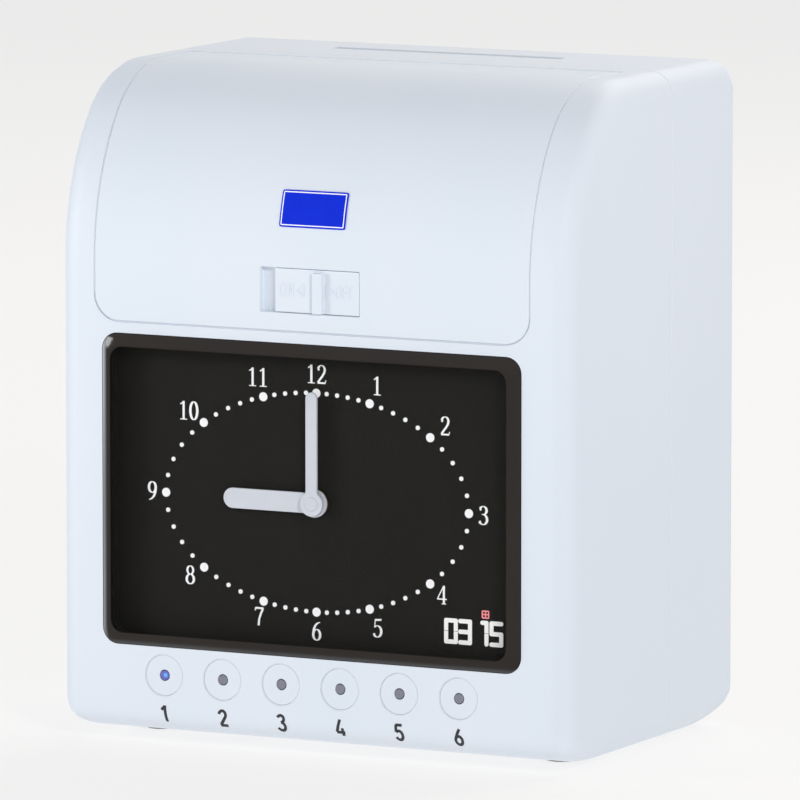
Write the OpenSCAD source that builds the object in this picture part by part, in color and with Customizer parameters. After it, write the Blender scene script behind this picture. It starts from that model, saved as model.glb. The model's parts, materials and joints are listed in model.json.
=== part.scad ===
// Card time recorder. X is to the right, Y to the back and Z up.
// The origin is on the table, under the middle of the whole object.

/* [Housing] */
// Width of the housing
body_w = 190; // [182:1:215]
// Depth from the flat front face to the back wall
body_d = 132; // [130:1:150]
// Height of the housing above the table
body_h = 226; // [224:1:245]
// Wall thickness of the mouldings
wall = 2.6; // [2.2:0.1:3]
// Radius of the long edges where the sides meet the front, top and back
edge_r = 8.4; // [6:0.2:8.6]
// Height above the table where the flat front turns into the brow
brow_z = 162; // [161:0.5:166]
// Radius between the front face and the underside
sole_r = 9; // [9:0.5:14]
// Radius of the long rise at the front of the underside
toe_r = 84; // [70:1:100]
// Radius between the top and the back
rear_r = 10.5; // [9:0.5:18]
// Radius between the underside and the back
heel_r = 9; // [9:0.5:12]
// Radius of the long rise at the rear of the underside
keel_r = 84; // [70:1:100]
// Distance from the front face to the seam between the two housings
seam_d = 78.1; // [77:0.1:82]
// Length of the tongue that joins the two housings
tongue_l = 3; // [2:0.2:4]

/* [Access cover] */
// Half of the cover's width
cover_half_w = 80.4; // [76:0.2:80.6]
// Height of the cover's lower edge above the table
cover_z = 142.3; // [140.6:0.1:144]
// Radius of the cover's lower corners
cover_corner_r = 8.9; // [5:0.1:12]
// Distance from the front face to the hinge axis
hinge_d = 67.5; // [66:0.5:69]
// Gap all round the cover
cover_gap = 0.5; // [0.4:0.05:0.8]
// Diameter of the hinge pins
pin_d = 2.4; // [2:0.1:3]
// Length of each hinge pin
pin_l = 11; // [9:0.5:13]

/* [Slider and lock] */
// Width of the slider's window
slot_w = 36.8; // [34:0.2:40]
// Height of the slider's window
slot_h = 14.9; // [13:0.1:16]
// Height of the window's middle above the table
slot_z = 155.75; // [154:0.25:157]
// Travel of the slider
slide_travel = 5.2; // [4:0.1:6]
// Thickness of the slider plate
slider_t = 2; // [1.6:0.1:2.4]
// Width of the slider's ridge
ridge_w = 3.7; // [3:0.1:5]
// Width of the lock bolt
bolt_w = 16; // [12:0.5:18]

/* [Window] */
// Distance from the side of the housing to the window
lens_gap = 17.4; // [17:0.1:20]
// Height of the window
lens_h = 104.3; // [100:0.1:105]
// Radius of the window's corners
lens_corner_r = 5.5; // [4:0.1:8]
// Width of the window's bevel
lens_bevel = 4.1; // [3:0.1:5]
// How far the window stands out of the front face
lens_proud = 2.5; // [2:0.1:3]
// Depth of the window's seat in the front face
lens_seat = 1.2; // [0.8:0.1:1.6]
// Thickness of the window's pane
lens_t = 2; // [1.5:0.1:2.2]

/* [Dial and hands] */
// Height of the dial's centre above the table
dial_z = 85; // [84:0.25:86]
// Depth of the dial behind the front face
dial_d = 4.9; // [4.5:0.1:6]
// Thickness of the dial plate
dial_t = 1.2; // [1:0.1:1.5]
// Half width of the oval of dots
dots_a = 56.3; // [50:0.1:60]
// Half height of the oval of dots
dots_b = 36.54; // [32:0.02:38]
// Diameter of an hour dot
hour_dot_d = 3; // [2:0.1:4]
// Diameter of a minute dot
minute_dot_d = 1.5; // [1:0.1:2]
// Length of the minute hand
minute_l = 37.2; // [30:0.1:40]
// Width of the minute hand
minute_w = 4.15; // [3:0.05:6]
// Length of the hour hand
hour_l = 33.7; // [26:0.1:36]
// Width of the hour hand
hour_w = 6.8; // [5:0.1:8]
// Thickness of the hands
hand_t = 1; // [0.8:0.1:1.2]

/* [Display] */
// Height of a display figure
digit_h = 8.5; // [7:0.1:9]
// Width of a display figure
digit_w = 5; // [4:0.1:5]
// Width of a stroke of a figure
stroke_w = 1.44; // [1:0.04:1.6]

/* [Buttons] */
// Distance from one button to the next
button_pitch = 21.92; // [20.5:0.02:23]
// Height of the buttons' middles above the table
button_z = 24; // [23:0.25:25]
// Diameter of a button
button_d = 13.6; // [12:0.1:14]
// Travel of a button
button_travel = 1.2; // [0.8:0.1:1.4]
// Diameter of the lamp in a button
lamp_d = 3.2; // [2.4:0.1:4]

/* [Card path] */
// Width of the card slot
card_slot_w = 86; // [84:0.5:90]
// Width of the gap that the card goes into
card_gap = 5; // [4.6:0.1:5.5]
// Distance from the middle of the card slot to the back wall's outside
card_back = 29.9; // [29:0.1:31]
// Height of the card's stop above the table
card_stop_z = 62; // [58:1:68]
// Wall thickness of the card guides
guide_t = 1.4; // [1.2:0.1:1.6]
// Height of the print line above the table
print_z = 160; // [158:0.5:162]
// Height of the feed rollers above the table
feed_z = 120; // [117:0.5:124]
// Diameter of the feed roller
feed_roller_d = 14; // [13:0.2:15]
// Diameter of the pinch roller
pinch_roller_d = 12; // [11:0.2:13]

/* [Carriage] */
// Width of the print carriage
carriage_w = 30; // [26:1:34]
// Travel of the carriage to each side
carriage_travel = 30; // [26:1:31]
// Diameter of the carriage's main rod
main_rod_d = 6; // [5:0.2:7]
// Diameter of the carriage's second rod
second_rod_d = 4; // [3:0.2:5]
// Diameter of the belt pulleys under the belt
pulley_d = 12; // [10:0.2:13]

/* [Frame] */
// Gap between a side frame and the outside of the housing
frame_gap = 29; // [27:0.5:31]
// Thickness of the frame's sheet steel
sheet_t = 1.5; // [1.2:0.1:2]

/* [Back] */
// Distance between the two wall-mounting holes
wall_hole_span = 120; // [90:1:130]
// Height of the wall-mounting holes above the table
wall_hole_z = 182; // [170:1:190]
// Diameter of a wall-mounting hole, which the screw head passes through
wall_hole_d = 9; // [8:0.5:11]
// Width of the slot above a wall-mounting hole, which holds the screw's neck
wall_neck_w = 4.6; // [4:0.1:5.5]
// Diameter of the housing screws
screw_d = 3; // [2.5:0.1:3.5]
// Diameter of the housing screws' heads
screw_head_d = 5.6; // [5:0.1:6]

/* [Feet] */
// Diameter of the rubber feet
foot_d = 12; // [10:0.5:14]
// How far the feet stand out under the housing
foot_h = 2; // [1.6:0.1:3]
// Depth of the feet's seats in the underside
foot_seat = 1; // [0.8:0.1:1.2]

/* [Hidden] */
$fn = 72;

// Clearances
slip = 0.2;        // between pieces that are dropped into place
air = 0.3;         // between separate bodies that pass each other
run_fit = 0.05;    // round a shaft in its bore, on the radius
big = 400;         // longer than the object, for cutting

// Planes of the housing
face_y = (lens_proud - body_d) / 2;
back_y = face_y + body_d;
seam_y = face_y + seam_d;
seam_gap = 0.35;     // shadow line between the two housings
sole_z = foot_h;
inner_face_y = face_y + wall;
inner_back_y = back_y - wall;
inner_half_w = body_w / 2 - wall;
core_half_w = body_w / 2 - edge_r;
corner_step = 3;     // step in the inside corners, under the rounded edges
floor_z = sole_z + wall;

// Where two arcs of the side profile meet, their common direction is that of a triangle with whole
// sides, 3-4-5 at the brow and 7-24-25 at both ends of the underside, so the ends lie on round numbers.
// The brow's lower arc has twice the radius of its upper one.
BROW_DIR = [-0.8, 0.6];
TOE_DIR = [-0.28, -0.96];
KEEL_DIR = [0.28, -0.96];
crown_r = (body_h - brow_z) / 1.6;
brow_r = 2 * crown_r;
crown_y = face_y + brow_r - 0.8 * (brow_r - crown_r);
toe_run = sole_r + 0.28 * (toe_r - sole_r);
toe_z = sole_z + toe_r - 0.96 * (toe_r - sole_r);
keel_run = heel_r + 0.28 * (keel_r - heel_r);
heel_z = sole_z + keel_r - 0.96 * (keel_r - heel_r);
// Each arc as [y, z, radius, first direction, last direction]
ARCS = [
    [face_y + sole_r, toe_z, sole_r, [-1, 0], TOE_DIR],
    [face_y + toe_run, sole_z + toe_r, toe_r, TOE_DIR, [0, -1]],
    [back_y - keel_run, sole_z + keel_r, keel_r, [0, -1], KEEL_DIR],
    [back_y - heel_r, heel_z, heel_r, KEEL_DIR, [1, 0]],
    [back_y - rear_r, body_h - rear_r, rear_r, [1, 0], [0, 1]],
    [crown_y, body_h - crown_r, crown_r, [0, 1], BROW_DIR],
    [face_y + brow_r, brow_z, brow_r, BROW_DIR, [-1, 0]]
];
// Straight stretches of the profile, each after the arc of this number
STRAIGHTS = [1, 3, 4, 6];

// Cover
hinge_y = face_y + hinge_d;
hinge_z = body_h - wall;
lug_l = 5;
seat_lip = 5;
lip_t = 1.8;
tray_t = 1.6;
plate_y = face_y + 0.4;
tray_floor_y = plate_y + slider_t + slip;
tray_back_y = tray_floor_y + tray_t;
slider_w = slot_w - slide_travel - 2 * slip;
slider_x = slot_w / 2 - slip - slider_w / 2;
ridge_h = 1.6;
ridge_x = slider_x + 0.6;
stem_w = 8;
stem_h = 4;
bolt_y = max(tray_back_y, inner_face_y + air + lip_t) + air;
bolt_t = 1.5;
bolt_low_z = cover_z + 1.4;
slot_low_z = slot_z - slot_h / 2;
lip_top_z = slot_low_z - tray_t - 2 * air;

// Window and dial
lens_w = body_w - 2 * lens_gap;
lens_low_z = dial_z - 51.25;
lens_rim = 3;
dial_y = face_y + dial_d;
dial_back_y = dial_y + dial_t;
well_t = 2;
dial_bore_d = 9;
dot_h = 0.2;
hour_hand_y = dial_y - 1.2;
minute_hand_y = hour_hand_y - hand_t - air - 0.6;

// Movement: all axes run along Y
arbor_d = 2;
cannon_d = 4;
pipe_d = 6;
center_l = 12;
case_w = 56;
case_h = 46;
case_d = 16;
case_t = 1.5;
case_y = dial_back_y + slip;
case_back_y = case_y + case_d;
cannon_teeth = 12;
wheel_teeth = 36;
pinion_teeth = 10;
hour_teeth = 40;
wheel_y = dial_back_y + 5;
hour_wheel_y = dial_back_y + 2;
wheel_t = 1.2;

// Display
display_x = lens_w / 2 - 19.1;
display_z = dial_z - 39.4;
display_w = 28;
display_h = 13;
// Figures of the date as [x, strokes a to g], where 1 is a whole stroke and less is a short one
DIGITS = [[-8.75, [1, 1, 1, 1, 1, 1, 0]], [-3.55, [1, 1, 1, 1, 0, 0, 1]],
    [2.5, [0.42, 1, 1, 0, 0, 0, 0]], [7.9, [1, 0, 1, 1, 0, 1, 1]]];

// Buttons
button_count = 6;
button_y = face_y + 0.2;
button_clear = 0.4;
collar_y = inner_face_y + air;
collar_t = 1.3;
collar_over = 1.3;
plunger_off = 4.9;
plunger_l = 5;
plunger_end_y = collar_y + collar_t + plunger_l;
switch_y = plunger_end_y + button_travel + 0.1;
switch_t = 3.5;
board_t = 1.6;
button_board_y = switch_y + switch_t;
button_board_w = button_pitch * (button_count - 1) + 34;
button_board_h = 20;
post_d = 6;

// Main board
main_board_y = case_back_y + 8;
main_board_w = body_w - 18;
main_board_z0 = 36;
main_board_h = 96;
post_x = main_board_w / 2 - 4;

// Frame and card path
frame_x = body_w / 2 - frame_gap;
frame_in = frame_x - sheet_t;
frame_y0 = main_board_y + board_t + 6;
card_y = back_y - card_back;
frame_y1 = card_y + 18;
frame_top_z = print_z + 40;
base_z = floor_z + 4;
power_gap = 6.5;     // between a side frame and the transformer or the battery pack
guide_w = card_slot_w + 2 * guide_t;
throat_y0 = card_y - card_gap / 2;
throat_y1 = card_y + card_gap / 2;
upper_guide_z = print_z + 12;
lower_guide_top_z = print_z - 12;
tab_t = 1.2;
nip = 1.4;
shaft_d = 5;
feed_y = card_y + nip / 2 + feed_roller_d / 2;
pinch_y = card_y - nip / 2 - pinch_roller_d / 2;
roller_w = card_slot_w - 10;
feed_module = 0.8;
feed_gear_teeth = 36;
motor_pinion_teeth = 12;
feed_center = feed_module * (feed_gear_teeth + motor_pinion_teeth) / 2;
feed_motor_z = feed_z - feed_center;

// Carriage
main_rod_y = card_y - 24;
main_rod_z = print_z - 2;
second_rod_y = main_rod_y - 22;
second_rod_z = print_z - 10;
carriage_y0 = second_rod_y - 5;
carriage_y1 = main_rod_y + 6;
ribbon_y = throat_y0;
ribbon_t = 0.3;
nose_y = ribbon_y - air;
belt_y = main_rod_y - 12;
belt_z = print_z - 20;
belt_w = 5;
belt_t = 1.2;
belt_r = pulley_d / 2;
carriage_motor_d = 20;
pulley_x = frame_in - carriage_motor_d / 2 - 0.5;
shelf_z = belt_z - 8;
motor_shaft_d = 3;
cartridge_z = print_z + 16;
cartridge_h = 15;
cartridge_y0 = second_rod_y - 6;
cartridge_y1 = card_y - card_gap / 2 - guide_t - tab_t - 8;
arm_x = carriage_travel + carriage_w / 2 + 5;

// Screws
boss_d = 9;
rib_t = 2;
screw_x = core_half_w - screw_head_d / 2 - 0.6;
SCREW_Z = [22, body_h - 22];
screw_head_y = seam_y + 12;
screw_head_t = 2.2;
screw_l = 22;
screw_tip_y = screw_head_y - screw_l;
foot_x = body_w / 2 - 20;
FOOT_Y = [face_y + toe_run + 7, back_y - keel_run - 7];

// Power inlet
inlet_x = body_w / 2 - 17;
inlet_z = 36;
inlet_w = 22;
inlet_h = 15;
inlet_d = 16;
socket_w = 14.4;
socket_h = 8.2;
socket_d = 10;
contact_d = 2.4;
contact_span = 8.6;

function polar(r, a) = [r * cos(a), r * sin(a)];

// Box from its lowest to its highest corner
module block(low, high) {
    translate(low)
    cube(high - low);
}

module rod_x(d, x0, x1) {
    translate([x0, 0, 0])
    rotate([0, 90, 0])
    cylinder(d = d, h = x1 - x0);
}

module rod_y(d, y0, y1) {
    translate([0, y0, 0])
    rotate([-90, 0, 0])
    cylinder(d = d, h = y1 - y0);
}

// Sheet of a flat shape drawn in X and Z, from y0 to y1
module panel(y0, y1) {
    translate([0, y1, 0])
    rotate([90, 0, 0])
    linear_extrude(y1 - y0)
    children();
}

// Sheet of a flat shape drawn in Y and Z, from x0 to x1
module cheek(x0, x1) {
    translate([x0, 0, 0])
    rotate([90, 0, 90])
    linear_extrude(x1 - x0)
    children();
}

// Rectangle with round corners, centred sideways, standing on z0
module tablet(w, z0, h, r) {
    translate([-w / 2 + r, z0])
    square([w - 2 * r, h]);
    translate([-w / 2, z0 + r])
    square([w, h - 2 * r]);
    for (x = [-w / 2 + r, w / 2 - r], z = [z0 + r, z0 + h - r])
        translate([x, z])
        circle(r);
}

// Side profile of the housing, drawn inwards by k
module profile(k) {
    polygon([for (a = ARCS, u = [a[3], a[4]]) [a[0], a[1]] + (a[2] - k) * u]);
    for (a = ARCS)
        translate([a[0], a[1]])
        intersection() {
            circle(a[2] - k, $fn = 144);
            wedge(a);
        }
}

// Sector of an arc, from its first direction to its last
module wedge(a) {
    polygon([[0, 0], 2 * a[2] * a[3], 2 * a[2] * (a[3] + a[4]), 2 * a[2] * a[4]]);
}

// Quarter that rounds an edge in four flat steps, with its corners on round numbers
module quarter(r) {
    polygon(r * [[0, 0], [1, 0], [0.92, 0.39], [0.71, 0.71], [0.39, 0.92], [0, 1]]);
}

// Rounded rim along the profile, between the side and its inset face
module rim(r) {
    for (a = ARCS)
        translate([a[0], a[1]])
        intersection() {
            rotate_extrude($fn = 144)
            translate([a[2] - edge_r, 0])
            quarter(r);
            translate([0, 0, -1])
            linear_extrude(r + 2)
            wedge(a);
        }
    for (i = STRAIGHTS) {
        a = ARCS[i];
        b = ARCS[(i + 1) % len(ARCS)];
        p = [a[0], a[1]] + (a[2] - edge_r) * a[4];
        q = [b[0], b[1]] + (b[2] - edge_r) * b[3];
        run = norm(q - p);
        translate(p)
        rotate(atan2(a[4][1], a[4][0]))
        translate([0, run, 0])
        rotate([90, 0, 0])
        linear_extrude(run)
        quarter(r);
    }
}

// Whole body with its long edges rounded
module rounded_body() {
    cheek(-core_half_w, core_half_w) profile(0);
    for (s = [0, 1])
        mirror([s, 0, 0]) {
            cheek(core_half_w, core_half_w + edge_r) profile(edge_r);
            translate([core_half_w, 0, 0])
            rotate([90, 0, 90])
            rim(edge_r);
        }
}

// Body drawn inwards by k, with a plain step along its long edges
module cavity(k) {
    half_w = body_w / 2 - k;
    cheek(-half_w + corner_step, half_w - corner_step) profile(k);
    cheek(-half_w, half_w) profile(k + corner_step);
}

// Hollow body from y0 to y1
module shell(y0, y1) {
    difference() {
        intersection() {
            rounded_body();
            block([-big, y0, -big], [big, y1, big]);
        }
        cavity(wall);
    }
}

// Cover's outline seen from the front, drawn outwards by g
module cover_outline(g) {
    r = cover_corner_r + g;
    w = cover_half_w + g;
    z1 = cover_z + cover_corner_r;
    translate([-w + r, cover_z - g])
    square([2 * (w - r), body_h + 10 - cover_z]);
    translate([-w, z1])
    square([2 * w, body_h + 10 - z1]);
    for (x = [-w + r, w - r])
        translate([x, z1])
        circle(r);
}

module cover_zone(g, y1) {
    panel(face_y - 5, y1) cover_outline(g);
}

module front_openings() {
    // opening of the cover, and the groove of its barrel
    cover_zone(cover_gap, hinge_y);
    translate([0, hinge_y, hinge_z])
    rod_x(2 * (wall + cover_gap), -cover_half_w - cover_gap, cover_half_w + cover_gap);
    block([-cover_half_w - cover_gap, hinge_y - 1, hinge_z],
        [cover_half_w + cover_gap, hinge_y + wall + cover_gap, body_h + 5]);
    // window seat and window opening
    panel(face_y - 1, face_y + lens_seat)
    tablet(lens_w + 2 * slip, lens_low_z - slip, lens_h + 2 * slip, lens_corner_r + slip);
    panel(face_y - 1, dial_y)
    tablet(lens_w - 2 * lens_rim, lens_low_z + lens_rim, lens_h - 2 * lens_rim, lens_corner_r);
    // buttons
    for (i = [0:button_count - 1])
        translate([button_x(i), 0, button_z])
        rod_y(button_d + 2 * button_clear, face_y - 1, inner_face_y + 1);
    foot_seats();
}

function button_x(i) = (i - (button_count - 1) / 2) * button_pitch;

module foot_seats() {
    for (x = [-foot_x, foot_x], y = FOOT_Y)
        translate([x, y, sole_z - 1])
        cylinder(d = foot_d + 2 * slip, h = 1 + foot_seat);
}

// Rim behind the window that the dial plate rests against
module dial_well() {
    panel(inner_face_y - 0.5, dial_y)
    difference() {
        tablet(lens_w - 2 * lens_rim + 2 * well_t, lens_low_z + lens_rim - well_t,
            lens_h - 2 * lens_rim + 2 * well_t, lens_corner_r + well_t);
        tablet(lens_w - 2 * lens_rim, lens_low_z + lens_rim, lens_h - 2 * lens_rim, lens_corner_r);
    }
}

module button_sleeves() {
    for (i = [0:button_count - 1])
        translate([button_x(i), 0, button_z])
        difference() {
            rod_y(button_d + 2 * collar_over + 2 * air + 2.4, inner_face_y - 0.5,
                collar_y + collar_t + button_travel);
            rod_y(button_d + 2 * collar_over + 2 * air, inner_face_y - 1, collar_y + 10);
        }
}

// Lip under the cover's lower edge, with the notch of the lock
module cover_lip() {
    lip_y = inner_face_y + air;
    low_z = lens_low_z + lens_h - lens_rim + well_t + 1;
    difference() {
        block([-cover_half_w + 6, lip_y, low_z], [cover_half_w - 6, lip_y + lip_t, lip_top_z]);
        block([-bolt_w / 2 - 1, lip_y - 1, bolt_low_z - air], [bolt_w / 2 + 1, lip_y + lip_t + 1, big]);
    }
    block([-cover_half_w + 6, inner_face_y - 0.5, low_z],
        [cover_half_w - 6, lip_y + 0.2, cover_z - cover_gap]);
}

// Ledges under the cover's two sides
module side_ledges() {
    for (s = [0, 1])
        mirror([s, 0, 0])
        intersection() {
            cheek(cover_half_w - seat_lip, cover_half_w + seat_lip)
            difference() {
                profile(wall + air);
                profile(wall + air + lip_t);
            }
            block([0, face_y, cover_z + cover_corner_r], [big, hinge_y - 6, big]);
        }
    for (s = [0, 1])
        mirror([s, 0, 0])
        intersection() {
            difference() {
                cheek(cover_half_w, core_half_w)
                difference() {
                    profile(wall - 0.5);
                    profile(wall + air + lip_t);
                }
                cover_zone(cover_gap, big);
            }
            block([0, face_y, cover_z + cover_corner_r], [big, hinge_y - 6, big]);
        }
}

module hinge_lugs() {
    for (s = [0, 1])
        mirror([s, 0, 0])
        block([cover_half_w + cover_gap, hinge_y - 4, hinge_z - 4],
            [cover_half_w + cover_gap + lug_l, hinge_y + 5, hinge_z + 0.5]);
}

module board_posts() {
    for (x = [-post_x, post_x], z = [main_board_z0 + 6, main_board_z0 + main_board_h - 6])
        translate([x, 0, z])
        difference() {
            rod_y(post_d, inner_face_y - 0.5, main_board_y);
            rod_y(2, main_board_y - 8, main_board_y + 1);
        }
    for (x = [-button_board_w / 2 + 4, button_board_w / 2 - 4])
        translate([x, 0, button_z])
        rod_y(post_d - 1, inner_face_y - 0.5, button_board_y);
}

// Screw bosses from y0 to y1, each with a rib to the side wall
module bosses(y0, y1) {
    for (s = [0, 1], z = SCREW_Z)
        mirror([s, 0, 0]) {
            translate([screw_x, 0, z])
            rod_y(boss_d, y0, y1);
            block([screw_x, y0, z - rib_t / 2], [inner_half_w + 1, y1, z + rib_t / 2]);
        }
}

// Everything that stands inside, kept off the outside of the housing
module trimmed() {
    intersection() {
        cavity(wall / 2);
        children();
    }
}

module front_housing() {
    color([0.9, 0.92, 0.95])
    difference() {
        union() {
            difference() {
                shell(-big, seam_y);
                front_openings();
            }
            dial_well();
            button_sleeves();
            cover_lip();
            side_ledges();
            hinge_lugs();
            board_posts();
            trimmed() bosses(screw_tip_y - 3, seam_y);
        }
        for (x = [-screw_x, screw_x], z = SCREW_Z)
            translate([x, 0, z])
            rod_y(screw_d + 2 * run_fit, screw_tip_y - 1, seam_y + 1);
        translate([0, hinge_y, hinge_z])
        rod_x(pin_d, -cover_half_w - cover_gap - lug_l, cover_half_w + cover_gap + lug_l);
    }
}

module wall_holes() {
    for (x = [-wall_hole_span / 2, wall_hole_span / 2])
        translate([x, 0, wall_hole_z]) {
            rod_y(wall_hole_d, inner_back_y - 1, back_y + 1);
            block([-wall_neck_w / 2, inner_back_y - 1, 0],
                [wall_neck_w / 2, back_y + 1, wall_hole_d]);
            translate([0, 0, wall_hole_d])
            rod_y(wall_neck_w, inner_back_y - 1, back_y + 1);
        }
}

module vents() {
    vent_w = 3;
    vent_pitch = 8;
    for (i = [-4:4])
        block([i * vent_pitch - vent_w / 2, inner_back_y - 1, 96],
            [i * vent_pitch + vent_w / 2, back_y + 1, 132]);
}

// Thin tongue that steps into the front housing
module tongue() {
    intersection() {
        difference() {
            cavity(wall + slip);
            cavity(wall + slip + lip_t);
        }
        difference() {
            block([-big, seam_y - tongue_l, 0], [big, seam_y + 4, big]);
            for (s = [0, 1], z = SCREW_Z)
                mirror([s, 0, 0])
                block([screw_x, seam_y - tongue_l - 1, z - rib_t / 2 - slip],
                    [inner_half_w + 1, seam_y, z + rib_t / 2 + slip]);
        }
    }
}

module tongue_root() {
    intersection() {
        difference() {
            cavity(wall / 2);
            cavity(wall + slip + lip_t);
        }
        block([-big, seam_y + 1, 0], [big, seam_y + 4, big]);
    }
}

module rear_housing() {
    color([0.88, 0.9, 0.94])
    difference() {
        union() {
            difference() {
                shell(seam_y + seam_gap, big);
                block([-card_slot_w / 2, throat_y0, body_h - wall - 5],
                    [card_slot_w / 2, throat_y1, body_h + 5]);
                wall_holes();
                vents();
                foot_seats();
                block([inlet_x - inlet_w / 2 - slip, inner_back_y - 1, inlet_z - inlet_h / 2 - slip],
                    [inlet_x + inlet_w / 2 + slip, back_y + 1, inlet_z + inlet_h / 2 + slip]);
            }
            tongue();
            tongue_root();
            trimmed() bosses(seam_y, inner_back_y + 1);
        }
        for (x = [-screw_x, screw_x], z = SCREW_Z)
            translate([x, 0, z]) {
                rod_y(screw_d + 2 * run_fit, seam_y - 1, back_y + 1);
                rod_y(screw_head_d + 2 * slip, screw_head_y - screw_head_t, back_y + 1);
            }
    }
}

module slider_tray() {
    w = slot_w + 2 * tray_t;
    h = slot_h + 2 * tray_t;
    difference() {
        block([-w / 2, inner_face_y - 1, slot_z - h / 2], [w / 2, tray_back_y, slot_z + h / 2]);
        block([-slot_w / 2, face_y - 1, slot_low_z], [slot_w / 2, tray_floor_y, slot_low_z + slot_h]);
        block([slider_x - stem_w / 2 - slide_travel - air, face_y, slot_z - stem_h / 2 - air],
            [slider_x + stem_w / 2 + air, tray_back_y + 1, slot_z + stem_h / 2 + air]);
    }
}

module access_cover() {
    color([0.86, 0.88, 0.92])
    difference() {
        union() {
            intersection() {
                cheek(-core_half_w, core_half_w)
                difference() {
                    profile(0);
                    profile(wall);
                }
                cover_zone(0, hinge_y);
            }
            translate([0, hinge_y, hinge_z])
            rod_x(2 * wall, -cover_half_w, cover_half_w);
            slider_tray();
        }
        block([-slot_w / 2, face_y - 1, slot_low_z], [slot_w / 2, tray_floor_y, slot_low_z + slot_h]);
        for (s = [0, 1])
            mirror([s, 0, 0])
            translate([0, hinge_y, hinge_z])
            rod_x(pin_d + 2 * run_fit, cover_half_w + lug_l + cover_gap - pin_l - 1, big);
    }
}

module cover_hinge_pins() {
    color([0.6, 0.6, 0.62])
    for (s = [0, 1])
        mirror([s, 0, 0])
        translate([0, hinge_y, hinge_z])
        rod_x(pin_d, cover_half_w + cover_gap + lug_l - pin_l, cover_half_w + cover_gap + lug_l);
}

module cover_slider() {
    color([0.86, 0.88, 0.92]) {
        block([slider_x - slider_w / 2, plate_y, slot_low_z + slip],
            [slider_x + slider_w / 2, plate_y + slider_t, slot_low_z + slot_h - slip]);
        block([ridge_x - ridge_w / 2, plate_y - ridge_h, slot_low_z + slip],
            [ridge_x + ridge_w / 2, plate_y + 0.5, slot_low_z + slot_h - 1.1]);
        block([slider_x - stem_w / 2, plate_y + slider_t - 0.5, slot_z - stem_h / 2],
            [slider_x + stem_w / 2, bolt_y, slot_z + stem_h / 2]);
    }
}

module lock_bolt() {
    color([0.7, 0.71, 0.73])
    block([slider_x - bolt_w / 2 - 2.8, bolt_y, bolt_low_z],
        [slider_x + bolt_w / 2 - 2.8, bolt_y + bolt_t, slot_z + 5]);
}

module lock_striker() {
    x1 = -bolt_w / 2 - 1;
    y0 = inner_face_y + air + lip_t;
    color([0.7, 0.71, 0.73])
    difference() {
        block([x1 - 14, y0, bolt_low_z - 4], [x1, y0 + 0.2, lip_top_z]);
        translate([x1 - 11, 0, bolt_low_z - 1])
        rod_y(2, y0 - 1, y0 + 2);
    }
}

module lens_form(inset, y0, depth, bevel) {
    hull() {
        panel(y0 - 0.01, y0)
        tablet(lens_w - 2 * inset, lens_low_z + inset, lens_h - 2 * inset, lens_corner_r, $fn = 32);
        panel(y0 - depth, y0 - depth + 0.01)
        tablet(lens_w - 2 * inset - 2 * bevel, lens_low_z + inset + bevel,
            lens_h - 2 * inset - 2 * bevel, lens_corner_r - 1, $fn = 32);
    }
}

module window_lens() {
    color([0.7, 0.75, 0.8, 0.4])
    difference() {
        union() {
            lens_form(0, face_y, lens_proud, lens_bevel);
            panel(face_y - 0.005, face_y + lens_seat)
            tablet(lens_w, lens_low_z, lens_h, lens_corner_r, $fn = 32);
        }
        lens_form(lens_t, face_y + lens_seat + 1, lens_seat + 1 + lens_proud - lens_t, lens_bevel);
    }
}

module dial_plate() {
    color([0.12, 0.12, 0.11])
    difference() {
        panel(dial_y, dial_back_y)
        tablet(lens_w - 2 * lens_rim + 2 * well_t, lens_low_z + lens_rim - well_t,
            lens_h - 2 * lens_rim + 2 * well_t, lens_corner_r + well_t);
        translate([0, 0, dial_z])
        rod_y(dial_bore_d, dial_y - 1, dial_back_y + 1);
        block([display_x - display_w / 2 - slip, dial_y - 1, display_z - display_h / 2 - slip],
            [display_x + display_w / 2 + slip, dial_back_y + 1, display_z + display_h / 2 + slip]);
    }
}

// Distance of the oval from the dial's centre, at an angle
function oval_r(a) = 1 / sqrt(pow(cos(a) / dots_a, 2) + pow(sin(a) / dots_b, 2));

module dial_dots() {
    color("white")
    for (i = [0:59]) {
        a = i * 6;
        d = i % 5 == 0 ? hour_dot_d : minute_dot_d;
        translate([oval_r(a) * cos(a), 0, dial_z + oval_r(a) * sin(a)])
        rod_y(d, dial_y - dot_h, dial_y);
    }
}

module display_module() {
    color([0.08, 0.08, 0.08]) {
        block([display_x - display_w / 2, dial_y, display_z - display_h / 2],
            [display_x + display_w / 2, dial_back_y + 0.5, display_z + display_h / 2]);
        block([display_x - display_w / 2 - 3, dial_back_y, display_z - display_h / 2 - 2],
            [display_x + display_w / 2 + 3, dial_back_y + 5, display_z + display_h / 2 + 2]);
    }
}

// Bar with bevelled ends, from the lower left point to the upper right one
module bar(a, b) {
    r = stroke_w / 2;
    c = 0.4 * r;
    polygon([a + [-r, -c], a + [-c, -r], [b[0] + c, a[1] - r], [b[0] + r, a[1] - c],
        b + [r, c], b + [c, r], [a[0] - c, b[1] + r], [a[0] - r, b[1] + c]]);
}

// Seven-stroke figure, with a thin gap at its middle where the middle stroke is unlit
module figure(lit) {
    w = (digit_w - stroke_w) / 2;
    h = (digit_h - stroke_w) / 2;
    BARS = [[[w - 2 * w * lit[0], h], [w, h]], [[w, 0], [w, h]], [[w, -h], [w, 0]],
        [[-w, -h], [w, -h]], [[-w, -h], [-w, 0]], [[-w, 0], [-w, h]], [[-w, 0], [w, 0]]];
    difference() {
        for (i = [0:6])
            if (lit[i] > 0)
                bar(BARS[i][0], BARS[i][1]);
        if (lit[6] == 0)
            square([digit_w + 1, 0.16], center = true);
    }
}

module display_figures() {
    color("white")
    panel(dial_y - dot_h, dial_y)
    for (d = DIGITS)
        translate([display_x + d[0], display_z])
        figure(d[1]);
}

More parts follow.
